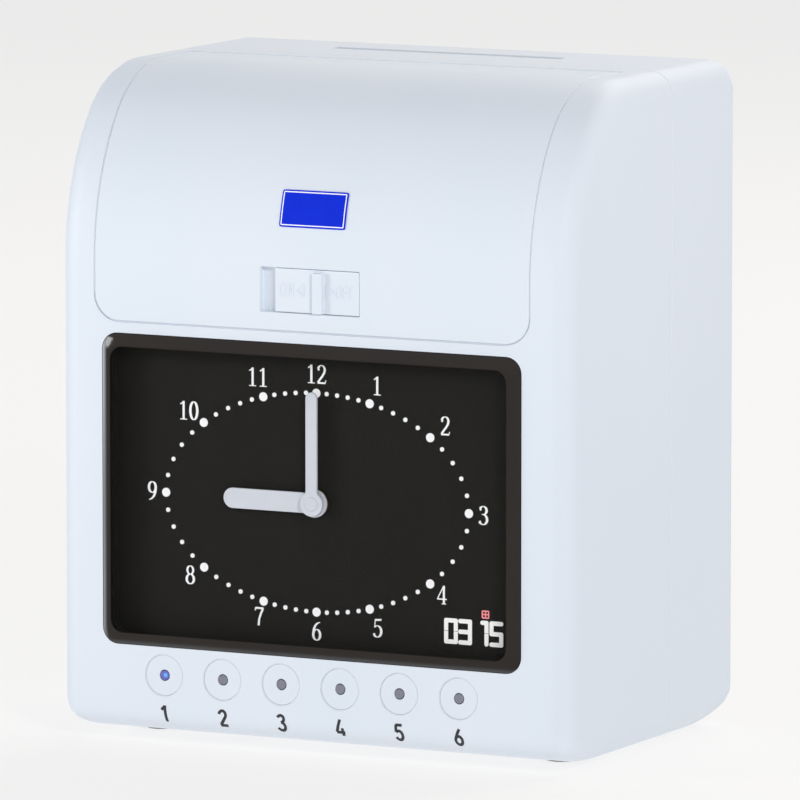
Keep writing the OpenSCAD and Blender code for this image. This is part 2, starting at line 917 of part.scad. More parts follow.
// Round-ended bar of a hand, pointing up
module hand_shape(w, l, hub) {
    translate([-w / 2, 0])
    square([w, l - w / 2]);
    translate([0, l - w / 2])
    circle(d = w);
    circle(d = hub);
}

module hour_hand() {
    color([0.8, 0.81, 0.85])
    translate([0, 0, dial_z])
    difference() {
        panel(hour_hand_y - hand_t, hour_hand_y)
        rotate(90)
        hand_shape(hour_w, hour_l, 9.4);
        rod_y(pipe_d, hour_hand_y - 5, hour_hand_y + 1);
    }
}

module minute_hand() {
    color([0.8, 0.81, 0.85])
    translate([0, 0, dial_z]) {
        panel(minute_hand_y - hand_t, minute_hand_y)
        hand_shape(minute_w, minute_l, 8.3);
        rod_y(4.6, minute_hand_y - hand_t - 0.3, minute_hand_y);
    }
}

// Flat toothed wheel with a tooth on the X axis. Its teeth are slim and short, to run free
module gear(teeth, mod) {
    step = 360 / teeth;
    root_r = mod * (teeth / 2 - 1);
    tip_r = mod * (teeth / 2 + 0.6);
    polygon([for (i = [0:teeth - 1]) each [
        polar(root_r, (i - 0.27) * step), polar(tip_r, (i - 0.12) * step),
        polar(tip_r, (i + 0.12) * step), polar(root_r, (i + 0.27) * step)]]);
}

module movement_case() {
    color([0.85, 0.85, 0.82])
    translate([0, 0, dial_z - 6])
    difference() {
        block([-case_w / 2, case_y, -case_h / 2], [case_w / 2, case_back_y, case_h / 2]);
        block([-case_w / 2 + case_t, case_y - 1, -case_h / 2 + case_t],
            [case_w / 2 - case_t, case_back_y - case_t, case_h / 2 - case_t]);
    }
}

module movement_posts() {
    color([0.75, 0.68, 0.4]) {
        translate([0, 0, dial_z])
        rod_y(arbor_d, minute_hand_y + 1.2, case_back_y - case_t);
        translate([0, 0, dial_z - center_l])
        rod_y(arbor_d, hour_wheel_y - 0.8, case_back_y - case_t);
    }
}

module cannon_pinion() {
    color([0.78, 0.66, 0.3])
    translate([0, 0, dial_z])
    difference() {
        union() {
            rod_y(cannon_d, minute_hand_y, wheel_y + wheel_t + 1);
            panel(wheel_y - 0.2, wheel_y + wheel_t + 0.2)
            rotate(90)
            gear(cannon_teeth, 2 * center_l / (cannon_teeth + wheel_teeth));
        }
        rod_y(arbor_d + 2 * run_fit, minute_hand_y + 0.8, wheel_y + wheel_t + 2);
    }
}

module minute_wheel() {
    color([0.78, 0.66, 0.3])
    translate([0, 0, dial_z - center_l])
    difference() {
        union() {
            panel(wheel_y, wheel_y + wheel_t)
            rotate(90 + 180 / wheel_teeth)
            gear(wheel_teeth, 2 * center_l / (cannon_teeth + wheel_teeth));
            panel(hour_wheel_y - 0.2, wheel_y + 0.1)
            rotate(90 + 180 / pinion_teeth)
            gear(pinion_teeth, 2 * center_l / (pinion_teeth + hour_teeth));
        }
        rod_y(arbor_d + 2 * run_fit, hour_wheel_y - 2, wheel_y + wheel_t + 2);
    }
}

module hour_wheel() {
    color([0.78, 0.66, 0.3])
    translate([0, 0, dial_z])
    difference() {
        union() {
            panel(hour_wheel_y, hour_wheel_y + wheel_t)
            rotate(-90)
            gear(hour_teeth, 2 * center_l / (pinion_teeth + hour_teeth));
            rod_y(pipe_d, hour_hand_y - hand_t, hour_wheel_y + wheel_t);
        }
        rod_y(cannon_d + 2 * run_fit, hour_hand_y - hand_t - 1, hour_wheel_y + wheel_t + 1);
    }
}

module stepper_motor() {
    color([0.35, 0.36, 0.4])
    translate([0, case_back_y - case_t, dial_z - 22]) {
        block([-20, -8, -4.5], [-4, 0, 4.5]);
        block([4, -6, -4.5], [20, 0, 4.5]);
        block([-4, -3, -3], [4, 0, 3]);
    }
}

module push_button(i) {
    dish_r = 90;
    dish = 0.3;
    color([0.87, 0.89, 0.93])
    translate([button_x(i), 0, button_z])
    difference() {
        union() {
            rod_y(button_d, button_y, collar_y + 0.5);
            rod_y(button_d + 2 * collar_over, collar_y, collar_y + collar_t);
            translate([0, 0, plunger_off])
            rod_y(2.4, collar_y + collar_t - 0.5, plunger_end_y);
        }
        rod_y(lamp_d + 2 * air, button_y - 2, collar_y + 10);
        translate([0, button_y + dish - dish_r, 0])
        sphere(dish_r, $fn = 144);
    }
}

module button_1() push_button(0);
module button_2() push_button(1);
module button_3() push_button(2);
module button_4() push_button(3);
module button_5() push_button(4);
module button_6() push_button(5);

module button_lamps() {
    color([0.6, 0.65, 0.7])
    for (i = [0:button_count - 1])
        translate([button_x(i), 0, button_z]) {
            rod_y(lamp_d, button_y + 0.4, button_board_y);
            rod_y(lamp_d + 1.2, collar_y + collar_t + button_travel + 1, button_board_y);
        }
}

module tact_switches() {
    color([0.2, 0.2, 0.22])
    for (i = [0:button_count - 1])
        translate([button_x(i), 0, button_z + plunger_off]) {
            rod_y(3, switch_y, switch_y + 1);
            block([-3, switch_y + 0.8, -2], [3, button_board_y, 3.6]);
        }
}

module button_board() {
    color([0.15, 0.4, 0.25])
    block([-button_board_w / 2, button_board_y, button_z - button_board_h / 2 + 2],
        [button_board_w / 2, button_board_y + board_t, button_z + button_board_h / 2]);
}

module main_board() {
    color([0.15, 0.4, 0.25])
    difference() {
        block([-main_board_w / 2, main_board_y, main_board_z0],
            [main_board_w / 2, main_board_y + board_t, main_board_z0 + main_board_h]);
        for (x = [-post_x, post_x], z = [main_board_z0 + 6, main_board_z0 + main_board_h - 6])
            translate([x, 0, z])
            rod_y(2.4, main_board_y - 1, main_board_y + board_t + 1);
    }
}

// Parts on the main board, each as [x, z, width, height, depth]
PARTS = [[-50, 96, 22, 22, 2.2], [-14, 104, 14, 8, 2], [20, 108, 10, 6, 2], [48, 98, 18, 12, 6],
    [-56, 56, 14, 8, 2], [-28, 60, 8, 8, 5], [10, 58, 24, 6, 7], [56, 60, 12, 18, 6]];

module board_components() {
    color([0.15, 0.15, 0.16])
    for (p = PARTS)
        translate([p[0], main_board_y + board_t, p[1]])
        block([-p[2] / 2, 0, -p[3] / 2], [p[2] / 2, p[4], p[3] / 2]);
}

module buzzer() {
    color([0.1, 0.1, 0.1])
    translate([-16, 0, 82])
    difference() {
        rod_y(16, main_board_y + board_t, main_board_y + board_t + 8);
        rod_y(3, main_board_y + board_t + 5, main_board_y + board_t + 9);
    }
}

// Side frame with the holes that its rods and shafts go through
module side_frame() {
    difference() {
        block([-sheet_t, frame_y0, base_z], [0, frame_y1, frame_top_z]);
        translate([0, main_rod_y, main_rod_z])
        rod_x(main_rod_d, -big, big);
        translate([0, second_rod_y, second_rod_z])
        rod_x(second_rod_d, -big, big);
        translate([0, feed_y, feed_z])
        rod_x(shaft_d + 2 * run_fit, -big, big);
        translate([0, pinch_y, feed_z])
        rod_x(shaft_d + 2 * run_fit, -big, big);
        translate([0, feed_y, feed_motor_z])
        rod_x(10, -big, big);
    }
}

module left_side_frame() {
    color([0.72, 0.73, 0.75])
    translate([-frame_in, 0, 0]) side_frame();
}

module right_side_frame() {
    color([0.72, 0.73, 0.75])
    translate([frame_x, 0, 0]) side_frame();
}

module base_plate() {
    stud_z = floor_z;
    color([0.72, 0.73, 0.75]) {
        block([-frame_in, frame_y0, base_z], [frame_in, back_y - keel_run - 6, base_z + sheet_t]);
        for (x = [-frame_in + 14, frame_in - 14], y = [frame_y0 + 10, back_y - keel_run - 12])
            translate([x, y, stud_z])
            cylinder(d = 8, h = base_z - stud_z + 0.5);
    }
}

module carriage_shelf() {
    color([0.72, 0.73, 0.75])
    difference() {
        block([-frame_in, belt_y - 15, shelf_z], [frame_in, belt_y + 15, shelf_z + sheet_t]);
        translate([pulley_x, belt_y, shelf_z - 1])
        cylinder(d = 8, h = sheet_t + 2);
    }
}

module main_rod() {
    color([0.8, 0.81, 0.83])
    translate([0, main_rod_y, main_rod_z])
    rod_x(main_rod_d, -frame_x - 1, frame_x + 1);
}

module second_rod() {
    color([0.8, 0.81, 0.83])
    translate([0, second_rod_y, second_rod_z])
    rod_x(second_rod_d, -frame_x - 1, frame_x + 1);
}

module print_carriage() {
    w = carriage_w / 2;
    color([0.2, 0.2, 0.22])
    difference() {
        union() {
            block([-w, carriage_y0, second_rod_z - 5], [w, carriage_y1, print_z + 3]);
            block([-6, belt_y + belt_r - 3, belt_z - belt_w], [6, belt_y + belt_r + belt_t + 3, print_z]);
        }
        translate([0, main_rod_y, main_rod_z])
        rod_x(main_rod_d + 2 * run_fit, -big, big);
        translate([0, second_rod_y, second_rod_z])
        rod_x(second_rod_d + 2 * run_fit, -big, big);
        block([-7, belt_y + belt_r - air, belt_z - belt_w - 1],
            [7, belt_y + belt_r + belt_t + air, belt_z + belt_w / 2 + air]);
        block([-w - 1, belt_y - belt_r - 5, second_rod_z - 6],
            [w + 1, belt_y + belt_r - 3, belt_z + belt_w / 2 + 1]);
    }
}

module print_head() {
    color([0.3, 0.31, 0.33]) {
        block([-11, carriage_y0 + 4, print_z + 3], [11, carriage_y1 - 1, print_z + 9]);
        block([-9, carriage_y1, print_z - 5], [9, nose_y - 6, print_z + 3]);
        block([-9, carriage_y1 - 1, print_z + 3], [9, nose_y - 6, print_z + 6]);
        block([-3, nose_y - 7, print_z - 4], [3, nose_y, print_z + 4]);
    }
}

module carriage_motor() {
    color([0.45, 0.46, 0.48])
    translate([pulley_x, belt_y, 0]) {
        translate([0, 0, shelf_z - 18])
        cylinder(d = carriage_motor_d, h = 18);
        translate([0, 0, shelf_z - 1])
        cylinder(d = 6, h = sheet_t + 1.5);
    }
}

module pulley() {
    difference() {
        union() {
            translate([0, 0, belt_z - belt_w / 2 - 0.4])
            cylinder(d = pulley_d - 0.2, h = belt_w + 0.8);
            for (z = [belt_z - belt_w / 2 - 1.4, belt_z + belt_w / 2 + 0.4])
                translate([0, 0, z])
                cylinder(d = pulley_d + 4, h = 1);
        }
        translate([0, 0, belt_z - 10])
        cylinder(d = motor_shaft_d + 2 * run_fit, h = 30);
    }
}

module drive_pulley() {
    color([0.85, 0.85, 0.85])
    translate([pulley_x, belt_y, 0]) {
        pulley();
        translate([0, 0, shelf_z + sheet_t + 1.2])
        cylinder(d = motor_shaft_d + 0.2, h = belt_z + belt_w / 2 - shelf_z - sheet_t);
    }
}

module idler_pulley() {
    color([0.85, 0.85, 0.85])
    translate([-pulley_x, belt_y, 0]) pulley();
}

module toothed_belt() {
    color([0.1, 0.1, 0.1])
    translate([0, belt_y, belt_z - belt_w / 2])
    linear_extrude(belt_w)
    difference() {
        belt_loop(belt_r + belt_t);
        belt_loop(belt_r);
    }
    // stud under the idler
    color([0.7, 0.71, 0.73])
    translate([-pulley_x, belt_y, shelf_z + sheet_t])
    cylinder(d = motor_shaft_d, h = belt_z + belt_w / 2 - shelf_z - sheet_t);
}

module belt_loop(r) {
    square([2 * pulley_x, 2 * r], center = true);
    for (x = [-pulley_x, pulley_x])
        translate([x, 0])
        circle(r);
}

// Arm that reaches over the main rod and down to the print line
module ribbon_arm() {
    rod_top_z = main_rod_z + main_rod_d / 2 + 1;
    block([arm_x, cartridge_y1 - 12, rod_top_z], [frame_in - 2, ribbon_y, cartridge_z + 8]);
    block([arm_x, main_rod_y + main_rod_d / 2 + 1, print_z - 6], [frame_in - 2, ribbon_y, rod_top_z + 1]);
}

module ribbon_cartridge() {
    color([0.13, 0.13, 0.14])
    difference() {
        union() {
            block([-frame_in + 2, cartridge_y0, cartridge_z],
                [frame_in - 2, cartridge_y1, cartridge_z + cartridge_h]);
            for (s = [0, 1])
                mirror([s, 0, 0])
                ribbon_arm();
        }
        translate([-40, cartridge_y0 + 14, cartridge_z + cartridge_h - 3])
        cylinder(d = 4 + 2 * run_fit, h = 5);
    }
}

module ribbon() {
    color([0.25, 0.2, 0.35])
    block([-frame_in + 4, ribbon_y, print_z - 5], [frame_in - 4, ribbon_y + ribbon_t, print_z + 5]);
}

module ribbon_knob() {
    color([0.3, 0.45, 0.75])
    translate([-40, cartridge_y0 + 14, cartridge_z + cartridge_h]) {
        difference() {
            translate([0, 0, air])
            cylinder(d = 14, h = 6);
            for (a = [0:45:315])
                rotate(a)
                translate([8, 0, -1])
                cylinder(d = 3.4, h = 10);
        }
        translate([0, 0, -2.8])
        cylinder(d = 4, h = 4);
    }
}

module platen_bar() {
    color([0.16, 0.16, 0.17])
    block([-frame_in, card_y + 1, print_z - 4], [frame_in, card_y + 11, print_z + 4]);
}

// Card guide from z0 to z1, with the tabs that reach the side frames
module card_guide(z0, z1, tab_z) {
    difference() {
        union() {
            block([-guide_w / 2, throat_y0 - guide_t, z0], [guide_w / 2, throat_y1 + guide_t, z1]);
            block([-frame_in, throat_y1 + guide_t - tab_t, tab_z],
                [frame_in, throat_y1 + guide_t, tab_z + 12]);
        }
        block([-card_slot_w / 2, throat_y0, z0 - 1], [card_slot_w / 2, throat_y1, z1 + 1]);
    }
}

module upper_card_guide() {
    color([0.25, 0.26, 0.28])
    card_guide(upper_guide_z, body_h - wall - slip, upper_guide_z + 8);
}

module lower_card_guide() {
    window_h = feed_roller_d + 4;
    color([0.25, 0.26, 0.28])
    difference() {
        union() {
            card_guide(card_stop_z, lower_guide_top_z, card_stop_z + 8);
            block([-guide_w / 2, throat_y0 - guide_t, card_stop_z - guide_t],
                [guide_w / 2, throat_y1 + guide_t, card_stop_z]);
        }
        block([-roller_w / 2 - 2, throat_y0 - guide_t - 1, feed_z - window_h / 2],
            [roller_w / 2 + 2, throat_y1 + guide_t + 1, feed_z + window_h / 2]);
    }
}

module feed_roller() {
    color([0.12, 0.12, 0.12])
    translate([0, feed_y, feed_z]) {
        rod_x(feed_roller_d, -roller_w / 2, roller_w / 2);
        rod_x(shaft_d, -frame_x - 1, frame_x + 8);
    }
}

module feed_gear() {
    color([0.9, 0.9, 0.88])
    translate([frame_x + 2, feed_y, feed_z])
    difference() {
        rotate([90, 0, 90])
        linear_extrude(5)
        rotate(-90)
        gear(feed_gear_teeth, feed_module);
        rod_x(shaft_d, -1, 7);
    }
}

module pinch_roller() {
    color([0.35, 0.35, 0.36])
    translate([0, pinch_y, feed_z]) {
        rod_x(pinch_roller_d, -roller_w / 2, roller_w / 2);
        rod_x(shaft_d, -frame_x - 1, frame_x + 1);
    }
}

module feed_motor() {
    color([0.45, 0.46, 0.48])
    translate([0, feed_y, feed_motor_z]) {
        rod_x(18, guide_w / 2 + 2, frame_in);
        rod_x(6, frame_in - 1, frame_x + 0.8);
    }
}

module motor_pinion() {
    color([0.9, 0.9, 0.88])
    translate([frame_x + 1.2, feed_y, feed_motor_z])
    rotate([90, 0, 90])
    linear_extrude(6)
    rotate(90 + 180 / motor_pinion_teeth)
    gear(motor_pinion_teeth, feed_module);
}

module transformer() {
    color([0.3, 0.3, 0.32])
    translate([power_gap - frame_in, frame_y0 + 8, base_z + sheet_t]) {
        block([0, 0, 0], [40, 36, 12]);
        block([6, 6, 10], [34, 30, 34]);
        block([0, 6, 12], [5.8, 30, 34]);
        block([34.2, 6, 12], [40, 30, 34]);
        block([0, 0, 34], [40, 36, 40]);
    }
}

module battery_pack() {
    translate([frame_in - power_gap - 54, frame_y0 + 9, base_z + sheet_t]) {
        color([0.2, 0.45, 0.35])
        for (y = [7, 22])
            translate([0, y, 7])
            rod_x(14, 2, 52);
        color([0.1, 0.1, 0.1]) {
            block([0, 0, 0], [2.2, 29, 13]);
            block([51.8, 0, 0], [54, 29, 13]);
            block([2, 12, 0], [52, 17, 5]);
        }
    }
}

module power_inlet() {
    color([0.08, 0.08, 0.08])
    translate([inlet_x, 0, inlet_z]) {
        difference() {
            block([-inlet_w / 2, back_y - inlet_d, -inlet_h / 2], [inlet_w / 2, back_y - 0.5, inlet_h / 2]);
            panel(back_y - 0.5 - socket_d, back_y)
            tablet(socket_w, -socket_h / 2, socket_h, socket_h / 2 - 0.1);
        }
        for (x = [-contact_span / 2, contact_span / 2])
            translate([x, 0, 0])
            rod_y(contact_d, back_y - 1 - socket_d, back_y - 3);
    }
}

module housing_screws() {
    color([0.6, 0.6, 0.62])
    for (x = [-screw_x, screw_x], z = SCREW_Z)
        translate([x, 0, z])
        difference() {
            union() {
                rod_y(screw_d, screw_tip_y, screw_head_y - 1);
                rod_y(screw_head_d, screw_head_y - screw_head_t, screw_head_y);
            }
            block([-0.5, screw_head_y - 1.2, -2], [0.5, screw_head_y + 1, 2]);
            block([-2, screw_head_y - 1.2, -0.5], [2, screw_head_y + 1, 0.5]);
        }
}

module rubber_feet() {
    color([0.15, 0.15, 0.15])
    for (x = [-foot_x, foot_x], y = FOOT_Y)
        translate([x, y, 0])
        cylinder(d = foot_d, h = foot_h + foot_seat);
}

front_housing();
rear_housing();
access_cover();
cover_hinge_pins();
cover_slider();
lock_bolt();
lock_striker();
window_lens();
dial_plate();
dial_dots();
display_module();
display_figures();
hour_hand();
minute_hand();
movement_case();
movement_posts();
cannon_pinion();
minute_wheel();
hour_wheel();
stepper_motor();
button_1();
button_2();
button_3();
button_4();
button_5();
button_6();
button_lamps();
tact_switches();
button_board();
main_board();
board_components();
buzzer();
left_side_frame();
right_side_frame();
base_plate();
carriage_shelf();
main_rod();
second_rod();
print_carriage();
print_head();
carriage_motor();
drive_pulley();
idler_pulley();
toothed_belt();
ribbon_cartridge();
ribbon();
ribbon_knob();
platen_bar();
upper_card_guide();
lower_card_guide();
feed_roller();
feed_gear();
pinch_roller();
feed_motor();
motor_pinion();
transformer();
battery_pack();
power_inlet();
housing_screws();
rubber_feet();
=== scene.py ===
"""Looks of the card time recorder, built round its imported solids. Its sizes and places are written
in millimetres, and those of the studio in metres."""

import json
import math

import bmesh
import bpy
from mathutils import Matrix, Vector

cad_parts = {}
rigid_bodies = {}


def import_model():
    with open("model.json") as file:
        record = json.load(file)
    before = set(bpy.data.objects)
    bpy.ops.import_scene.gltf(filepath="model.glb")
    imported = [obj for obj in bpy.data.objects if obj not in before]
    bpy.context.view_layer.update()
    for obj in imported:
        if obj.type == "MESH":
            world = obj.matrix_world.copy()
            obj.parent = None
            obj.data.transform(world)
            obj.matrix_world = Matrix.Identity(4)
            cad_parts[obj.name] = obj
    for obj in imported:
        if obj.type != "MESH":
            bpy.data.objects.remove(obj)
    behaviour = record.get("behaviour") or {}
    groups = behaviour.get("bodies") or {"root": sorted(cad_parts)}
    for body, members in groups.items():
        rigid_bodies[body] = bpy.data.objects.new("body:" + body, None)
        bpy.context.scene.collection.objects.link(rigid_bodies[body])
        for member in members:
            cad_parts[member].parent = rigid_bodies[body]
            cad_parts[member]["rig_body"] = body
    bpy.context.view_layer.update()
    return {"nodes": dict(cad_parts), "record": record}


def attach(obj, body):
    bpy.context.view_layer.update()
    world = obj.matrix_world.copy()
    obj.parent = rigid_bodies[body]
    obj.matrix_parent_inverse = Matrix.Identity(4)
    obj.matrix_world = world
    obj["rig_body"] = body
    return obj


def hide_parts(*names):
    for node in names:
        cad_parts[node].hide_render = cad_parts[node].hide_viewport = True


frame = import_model()
MM = 0.001

# Planes and places of the recorder, as in its solids
FACE_Y = -64.75
DIAL_Y, DIAL_Z = -59.85, 85.0
DISPLAY_X, DISPLAY_Z = 58.5, 45.6
DISPLAY_RIM_X, DISPLAY_RIM_Z = 14.1, 6.6
SLIDER_Y, SLIDER_Z = -64.35, 156.0
SOLE_R, SOLE_Z = 9.0, 14.0
BROW_R, BROW_Z = 80.0, 162.0
CROWN_R, CROWN_Y, CROWN_Z = 40.0, -16.75, 186.0
BROW_END_Z = BROW_Z + 0.6 * BROW_R
SIDE_X, TOP_Z, UNDERSIDE_Z, EDGE_R = 95.0, 226.0, 2.0, 8.4
SEAM_Y, SEAM_GAP = 13.35, 0.35
WELL_X, WELL_LOW, WELL_HIGH, SEAT_REACH = 74.6, 36.75, 135.05, 3.3
PANE_X, PANE_LOW, PANE_HIGH = 77.0, 34.3, 137.5
COVER_X, COVER_Z, COVER_CORNER, COVER_GAP = 80.4, 142.3, 8.9, 0.5
BARREL_BACK = 5.35
BUTTON_Z, BUTTON_R = 24.0, 6.8
BUTTON_X = [(k - 2.5) * 21.92 for k in range(6)]

# Sides, foot and top of the badge plate and of the line on it
BADGE = (-11.9, 12.5, 176.65, 188.7)
BADGE_LINE = (-11.2, 11.8, 177.35, 188.0)

# Edges sharper than this many degrees stay sharp or get an edge radius
CREASE = 34

# Middle of each numeral, measured across and up from the middle of the dial
NUMERALS = {12: (0, 42.9), 1: (22.4, 40.3), 2: (47.6, 28.5), 3: (61.8, -0.3), 4: (46.4, -27.6),
            5: (22.8, -40.3), 6: (0, -42.9), 7: (-21.4, -39.3), 8: (-47.3, -27.2), 9: (-61.5, 0.2),
            10: (-47.8, 28.0), 11: (-21.9, 40.7)}
NUMERAL_HEIGHT = 6.3

# Moulded and turned pieces of the inside that show round edges, with their slot and edge radius
MECHANISM = (("print_carriage", "grey_plastic", 0.4), ("ribbon_cartridge", "black_plastic", 0.4),
             ("upper_card_guide", "grey_plastic", 0.25), ("lower_card_guide", "grey_plastic", 0.25),
             ("movement_case", "clock_plastic", 0.3), ("power_inlet", "black_plastic", 0.3),
             ("rubber_feet", "rubber_black", 0.5), ("ribbon_knob", "knob_blue", 0.25),
             ("transformer", "transformer_iron", 0.4), ("buzzer", "black_plastic", 0.3))


# Shader expressions

class Value:
    """Socket of a material's node, for use in Python expressions."""

    def __init__(self, finish, socket):
        self.finish = finish
        self.socket = socket

    def math(self, operation, *values):
        return self.finish.node("Math", {"operation": operation}, dict(enumerate(values)))

    def __add__(self, other):
        return self.math("ADD", self, other)

    def __sub__(self, other):
        return self.math("SUBTRACT", self, other)

    def __rsub__(self, other):
        return self.math("SUBTRACT", other, self)

    def __mul__(self, other):
        return self.math("MULTIPLY", self, other)

    def __lt__(self, other):
        return self.math("LESS_THAN", self, other)

    __radd__ = __add__
    __rmul__ = __mul__

    def fade(self, low, high):
        """0 below low, 1 above high, and smooth between them."""
        return self.finish.node("MapRange", {"interpolation_type": "SMOOTHSTEP"},
                                {"Value": self, "From Min": low, "From Max": high})


class Finish:
    """Material with one Principled surface and the nodes that feed it."""

    def __init__(self, name, sockets):
        self.material = bpy.data.materials.new(name)
        self.material.use_nodes = True
        self.tree = self.material.node_tree
        self.surface = self.tree.nodes["Principled BSDF"]
        self.place = self.node("TexCoord", {"out": "Object"}, {})
        self.set(sockets)

    def set(self, sockets):
        self.fill(self.surface, sockets)
        return self

    def fill(self, node, sockets):
        for key, value in sockets.items():
            if isinstance(value, Value):
                self.tree.links.new(value.socket, node.inputs[key])
            else:
                node.inputs[key].default_value = value

    def node(self, kind, settings, sockets):
        """Any node, by its type, its settings and the values or links of its sockets. The setting
        out says which of its outputs is used."""
        made = self.tree.nodes.new("ShaderNode" + kind)
        settings = dict(settings)
        out = settings.pop("out", 0)
        for key, value in settings.items():
            setattr(made, key, value)
        self.fill(made, sockets)
        return Value(self, made.outputs[out])

    def grain(self, scale, detail=2.0, stretch=None, roughness=0.5):
        """Noise of about 1 / scale metres, drawn out along an axis by stretch."""
        where = self.place
        if stretch:
            where = self.node("VectorMath", {"operation": "MULTIPLY"}, {0: where, 1: stretch})
        return self.node("TexNoise", {}, {"Vector": where, "Scale": scale, "Detail": detail,
                                          "Roughness": roughness})

    def cells(self, scale):
        """Distance from the nearest of many scattered points."""
        return self.node("TexVoronoi", {}, {"Vector": self.place, "Scale": scale})

    def axis(self, name):
        return self.node("SeparateXYZ", {"out": name}, {0: self.place})

    def mix(self, factor, low, high):
        """Colour low where factor is 0 and high where it is 1."""
        return self.node("Mix", {"data_type": "RGBA", "out": 2}, {0: factor, 6: low, 7: high})

    def relief(self, height, distance):
        return self.node("Bump", {}, {"Height": height, "Distance": distance})


def srgb(red, green, blue):
    """Linear colour of screen values from 0 to 255."""
    def linear(v):
        v /= 255
        return v / 12.92 if v <= 0.04045 else ((v + 0.055) / 1.055) ** 2.4
    return (linear(red), linear(green), linear(blue), 1.0)


# Finishes

def moulded(name, colour, shade, roughness, texture=2600, depth=0.000012, coat=0.0, shine=0.5):
    """Moulded plastic with a fine eroded texture and faint flow marks."""
    finish = Finish(name, {"Coat Weight": coat, "Coat Roughness": 0.12, "IOR": 1.49,
                           "Specular IOR Level": shine})
    fine = finish.grain(texture, 3.0)
    flow = finish.grain(14, 2.0, (1.0, 1.0, 0.35))
    return finish.set({
        "Base Color": finish.mix(flow.fade(0.3, 0.7), colour, shade),
        "Roughness": fine * 0.08 + flow * 0.06 + (roughness - 0.07),
        "Normal": finish.relief(fine, depth)}).material


def housing_white():
    return moulded("housing_white", srgb(227, 234, 243), srgb(224, 232, 242), 0.5, shine=0.35)


def cover_white():
    return moulded("cover_white", srgb(227, 234, 243), srgb(224, 232, 242), 0.48, shine=0.35)


def button_white():
    return moulded("button_white", srgb(226, 233, 242), srgb(223, 231, 241), 0.4, 3400, 0.000006,
                   shine=0.35)


def dial_black():
    """Screen print on a fine matt ground, with sparse dust behind the window."""
    finish = Finish("dial_black", {"IOR": 1.45, "Specular IOR Level": 0.1})
    fine = finish.grain(1500, 4.0)
    cloud = finish.grain(60, 3.0)
    dust = finish.cells(900) < 0.055
    ground = finish.mix(fine * 0.6 + cloud * 0.4, srgb(25, 24, 22), srgb(34, 33, 31))
    return finish.set({
        "Base Color": finish.mix(dust * 0.08, ground, srgb(190, 190, 190)),
        "Roughness": fine * 0.2 + 0.55,
        "Normal": finish.relief(fine, 0.00001)}).material


def dial_print():
    """Opaque white ink with a slightly uneven coat, and a faint painted glow that makes it brighter.
    """
    # Painted glow: the white ink gives off a little light of its own, so it reads brighter.
    finish = Finish("dial_print", {"IOR": 1.45, "Emission Color": srgb(255, 255, 255),
                                   "Emission Strength": 0.1})
    coat = finish.grain(2400, 3.0)
    return finish.set({
        "Base Color": finish.mix(coat, srgb(243, 244, 246), srgb(252, 252, 252)),
        "Roughness": coat * 0.15 + 0.5}).material


def seal_grey():
    """Pale colour of the strips set in the gaps of the cover, the buttons and the seam, which paints
    out the shade in the gaps.
    """
    # Pale fillers that paint out the shade in the gaps.
    finish = Finish("seal_grey", {"IOR": 1.45, "Specular IOR Level": 0.2})
    fine = finish.grain(1800, 2.0)
    return finish.set({
        "Base Color": finish.mix(fine, srgb(224, 229, 237), srgb(230, 235, 243)),
        "Roughness": fine * 0.1 + 0.6}).material


def number_black():
    """Pad print on the housing, with a few thin spots."""
    finish = Finish("number_black", {"IOR": 1.45})
    coat = finish.grain(2600, 3.0)
    return finish.set({
        "Base Color": finish.mix(coat.fade(0.35, 0.8), srgb(34, 34, 40), srgb(56, 57, 64)),
        "Roughness": coat * 0.2 + 0.38}).material


def hand_grey():
    """Satin lacquer over stamped sheet."""
    finish = Finish("hand_grey", {"IOR": 1.5, "Coat Weight": 0.2, "Coat Roughness": 0.3})
    fine = finish.grain(2200, 3.0)
    cloud = finish.grain(160, 2.0)
    return finish.set({
        "Base Color": finish.mix(cloud, srgb(212, 216, 226), srgb(220, 224, 233)),
        "Roughness": fine * 0.15 + 0.4,
        "Normal": finish.relief(fine, 0.000008)}).material


def clear_acrylic():
    """Clear pane: mostly see-through, with a faint gloss."""
    finish = Finish("clear_acrylic", {"Base Color": srgb(30, 31, 32), "IOR": 1.3})
    haze = finish.grain(35, 2.0)
    return finish.set({"Alpha": haze * 0.02 + 0.02,
                       "Roughness": haze * 0.03 + 0.03}).material


def window_border():
    """Bevel of the window over its black printed border. On the left bevel a pale painted highlight
    lies over the print, the stronger towards the top, and on the lower bevel lies a grey painted
    reflection."""
    finish = Finish("window_border", {"IOR": 1.49, "Specular IOR Level": 0.3})
    fine = finish.grain(900, 2.0)
    cloud = finish.grain(25, 2.0)
    print_black = finish.mix(cloud, srgb(22, 18, 15), srgb(36, 29, 24))
    left = 1.0 - finish.axis("X").fade(-77.4 * MM, -75.2 * MM)
    below = 1.0 - finish.axis("Z").fade(33.8 * MM, 35.6 * MM)
    upper = finish.axis("Z").fade(75 * MM, 134 * MM)
    # Painted highlight: pale over the print on the left bevel, stronger towards the top.
    print_with_painted_highlight = finish.mix(left * (upper * 0.35 + 0.4), print_black, srgb(196, 199, 204))
    return finish.set({
        # Painted reflection: grey over the lower bevel.
        "Base Color": finish.mix(below * 0.3, print_with_painted_highlight, srgb(112, 116, 122)),
        "Roughness": fine * 0.06 + 0.1}).material


def display_black():
    """Dark filter of the display, as black as the dial round it."""
    finish = Finish("display_black", {"IOR": 1.45, "Specular IOR Level": 0.1})
    fine = finish.grain(1800, 2.0)
    grid = finish.grain(400, 1.0, (1.0, 1.0, 6.0))
    return finish.set({
        "Base Color": finish.mix(grid * 0.5, srgb(28, 27, 25), srgb(37, 36, 34)),
        "Roughness": fine * 0.2 + 0.5}).material


def display_light():
    """Faintly glowing strokes of the date figures."""
    finish = Finish("display_light", {"Base Color": srgb(238, 238, 236), "Roughness": 0.4,
                                      "Emission Strength": 0.2})
    glow = finish.grain(700, 1.0)
    light = finish.mix(glow, srgb(240, 240, 236), srgb(255, 255, 252))
    return finish.set({"Emission Color": light}).material


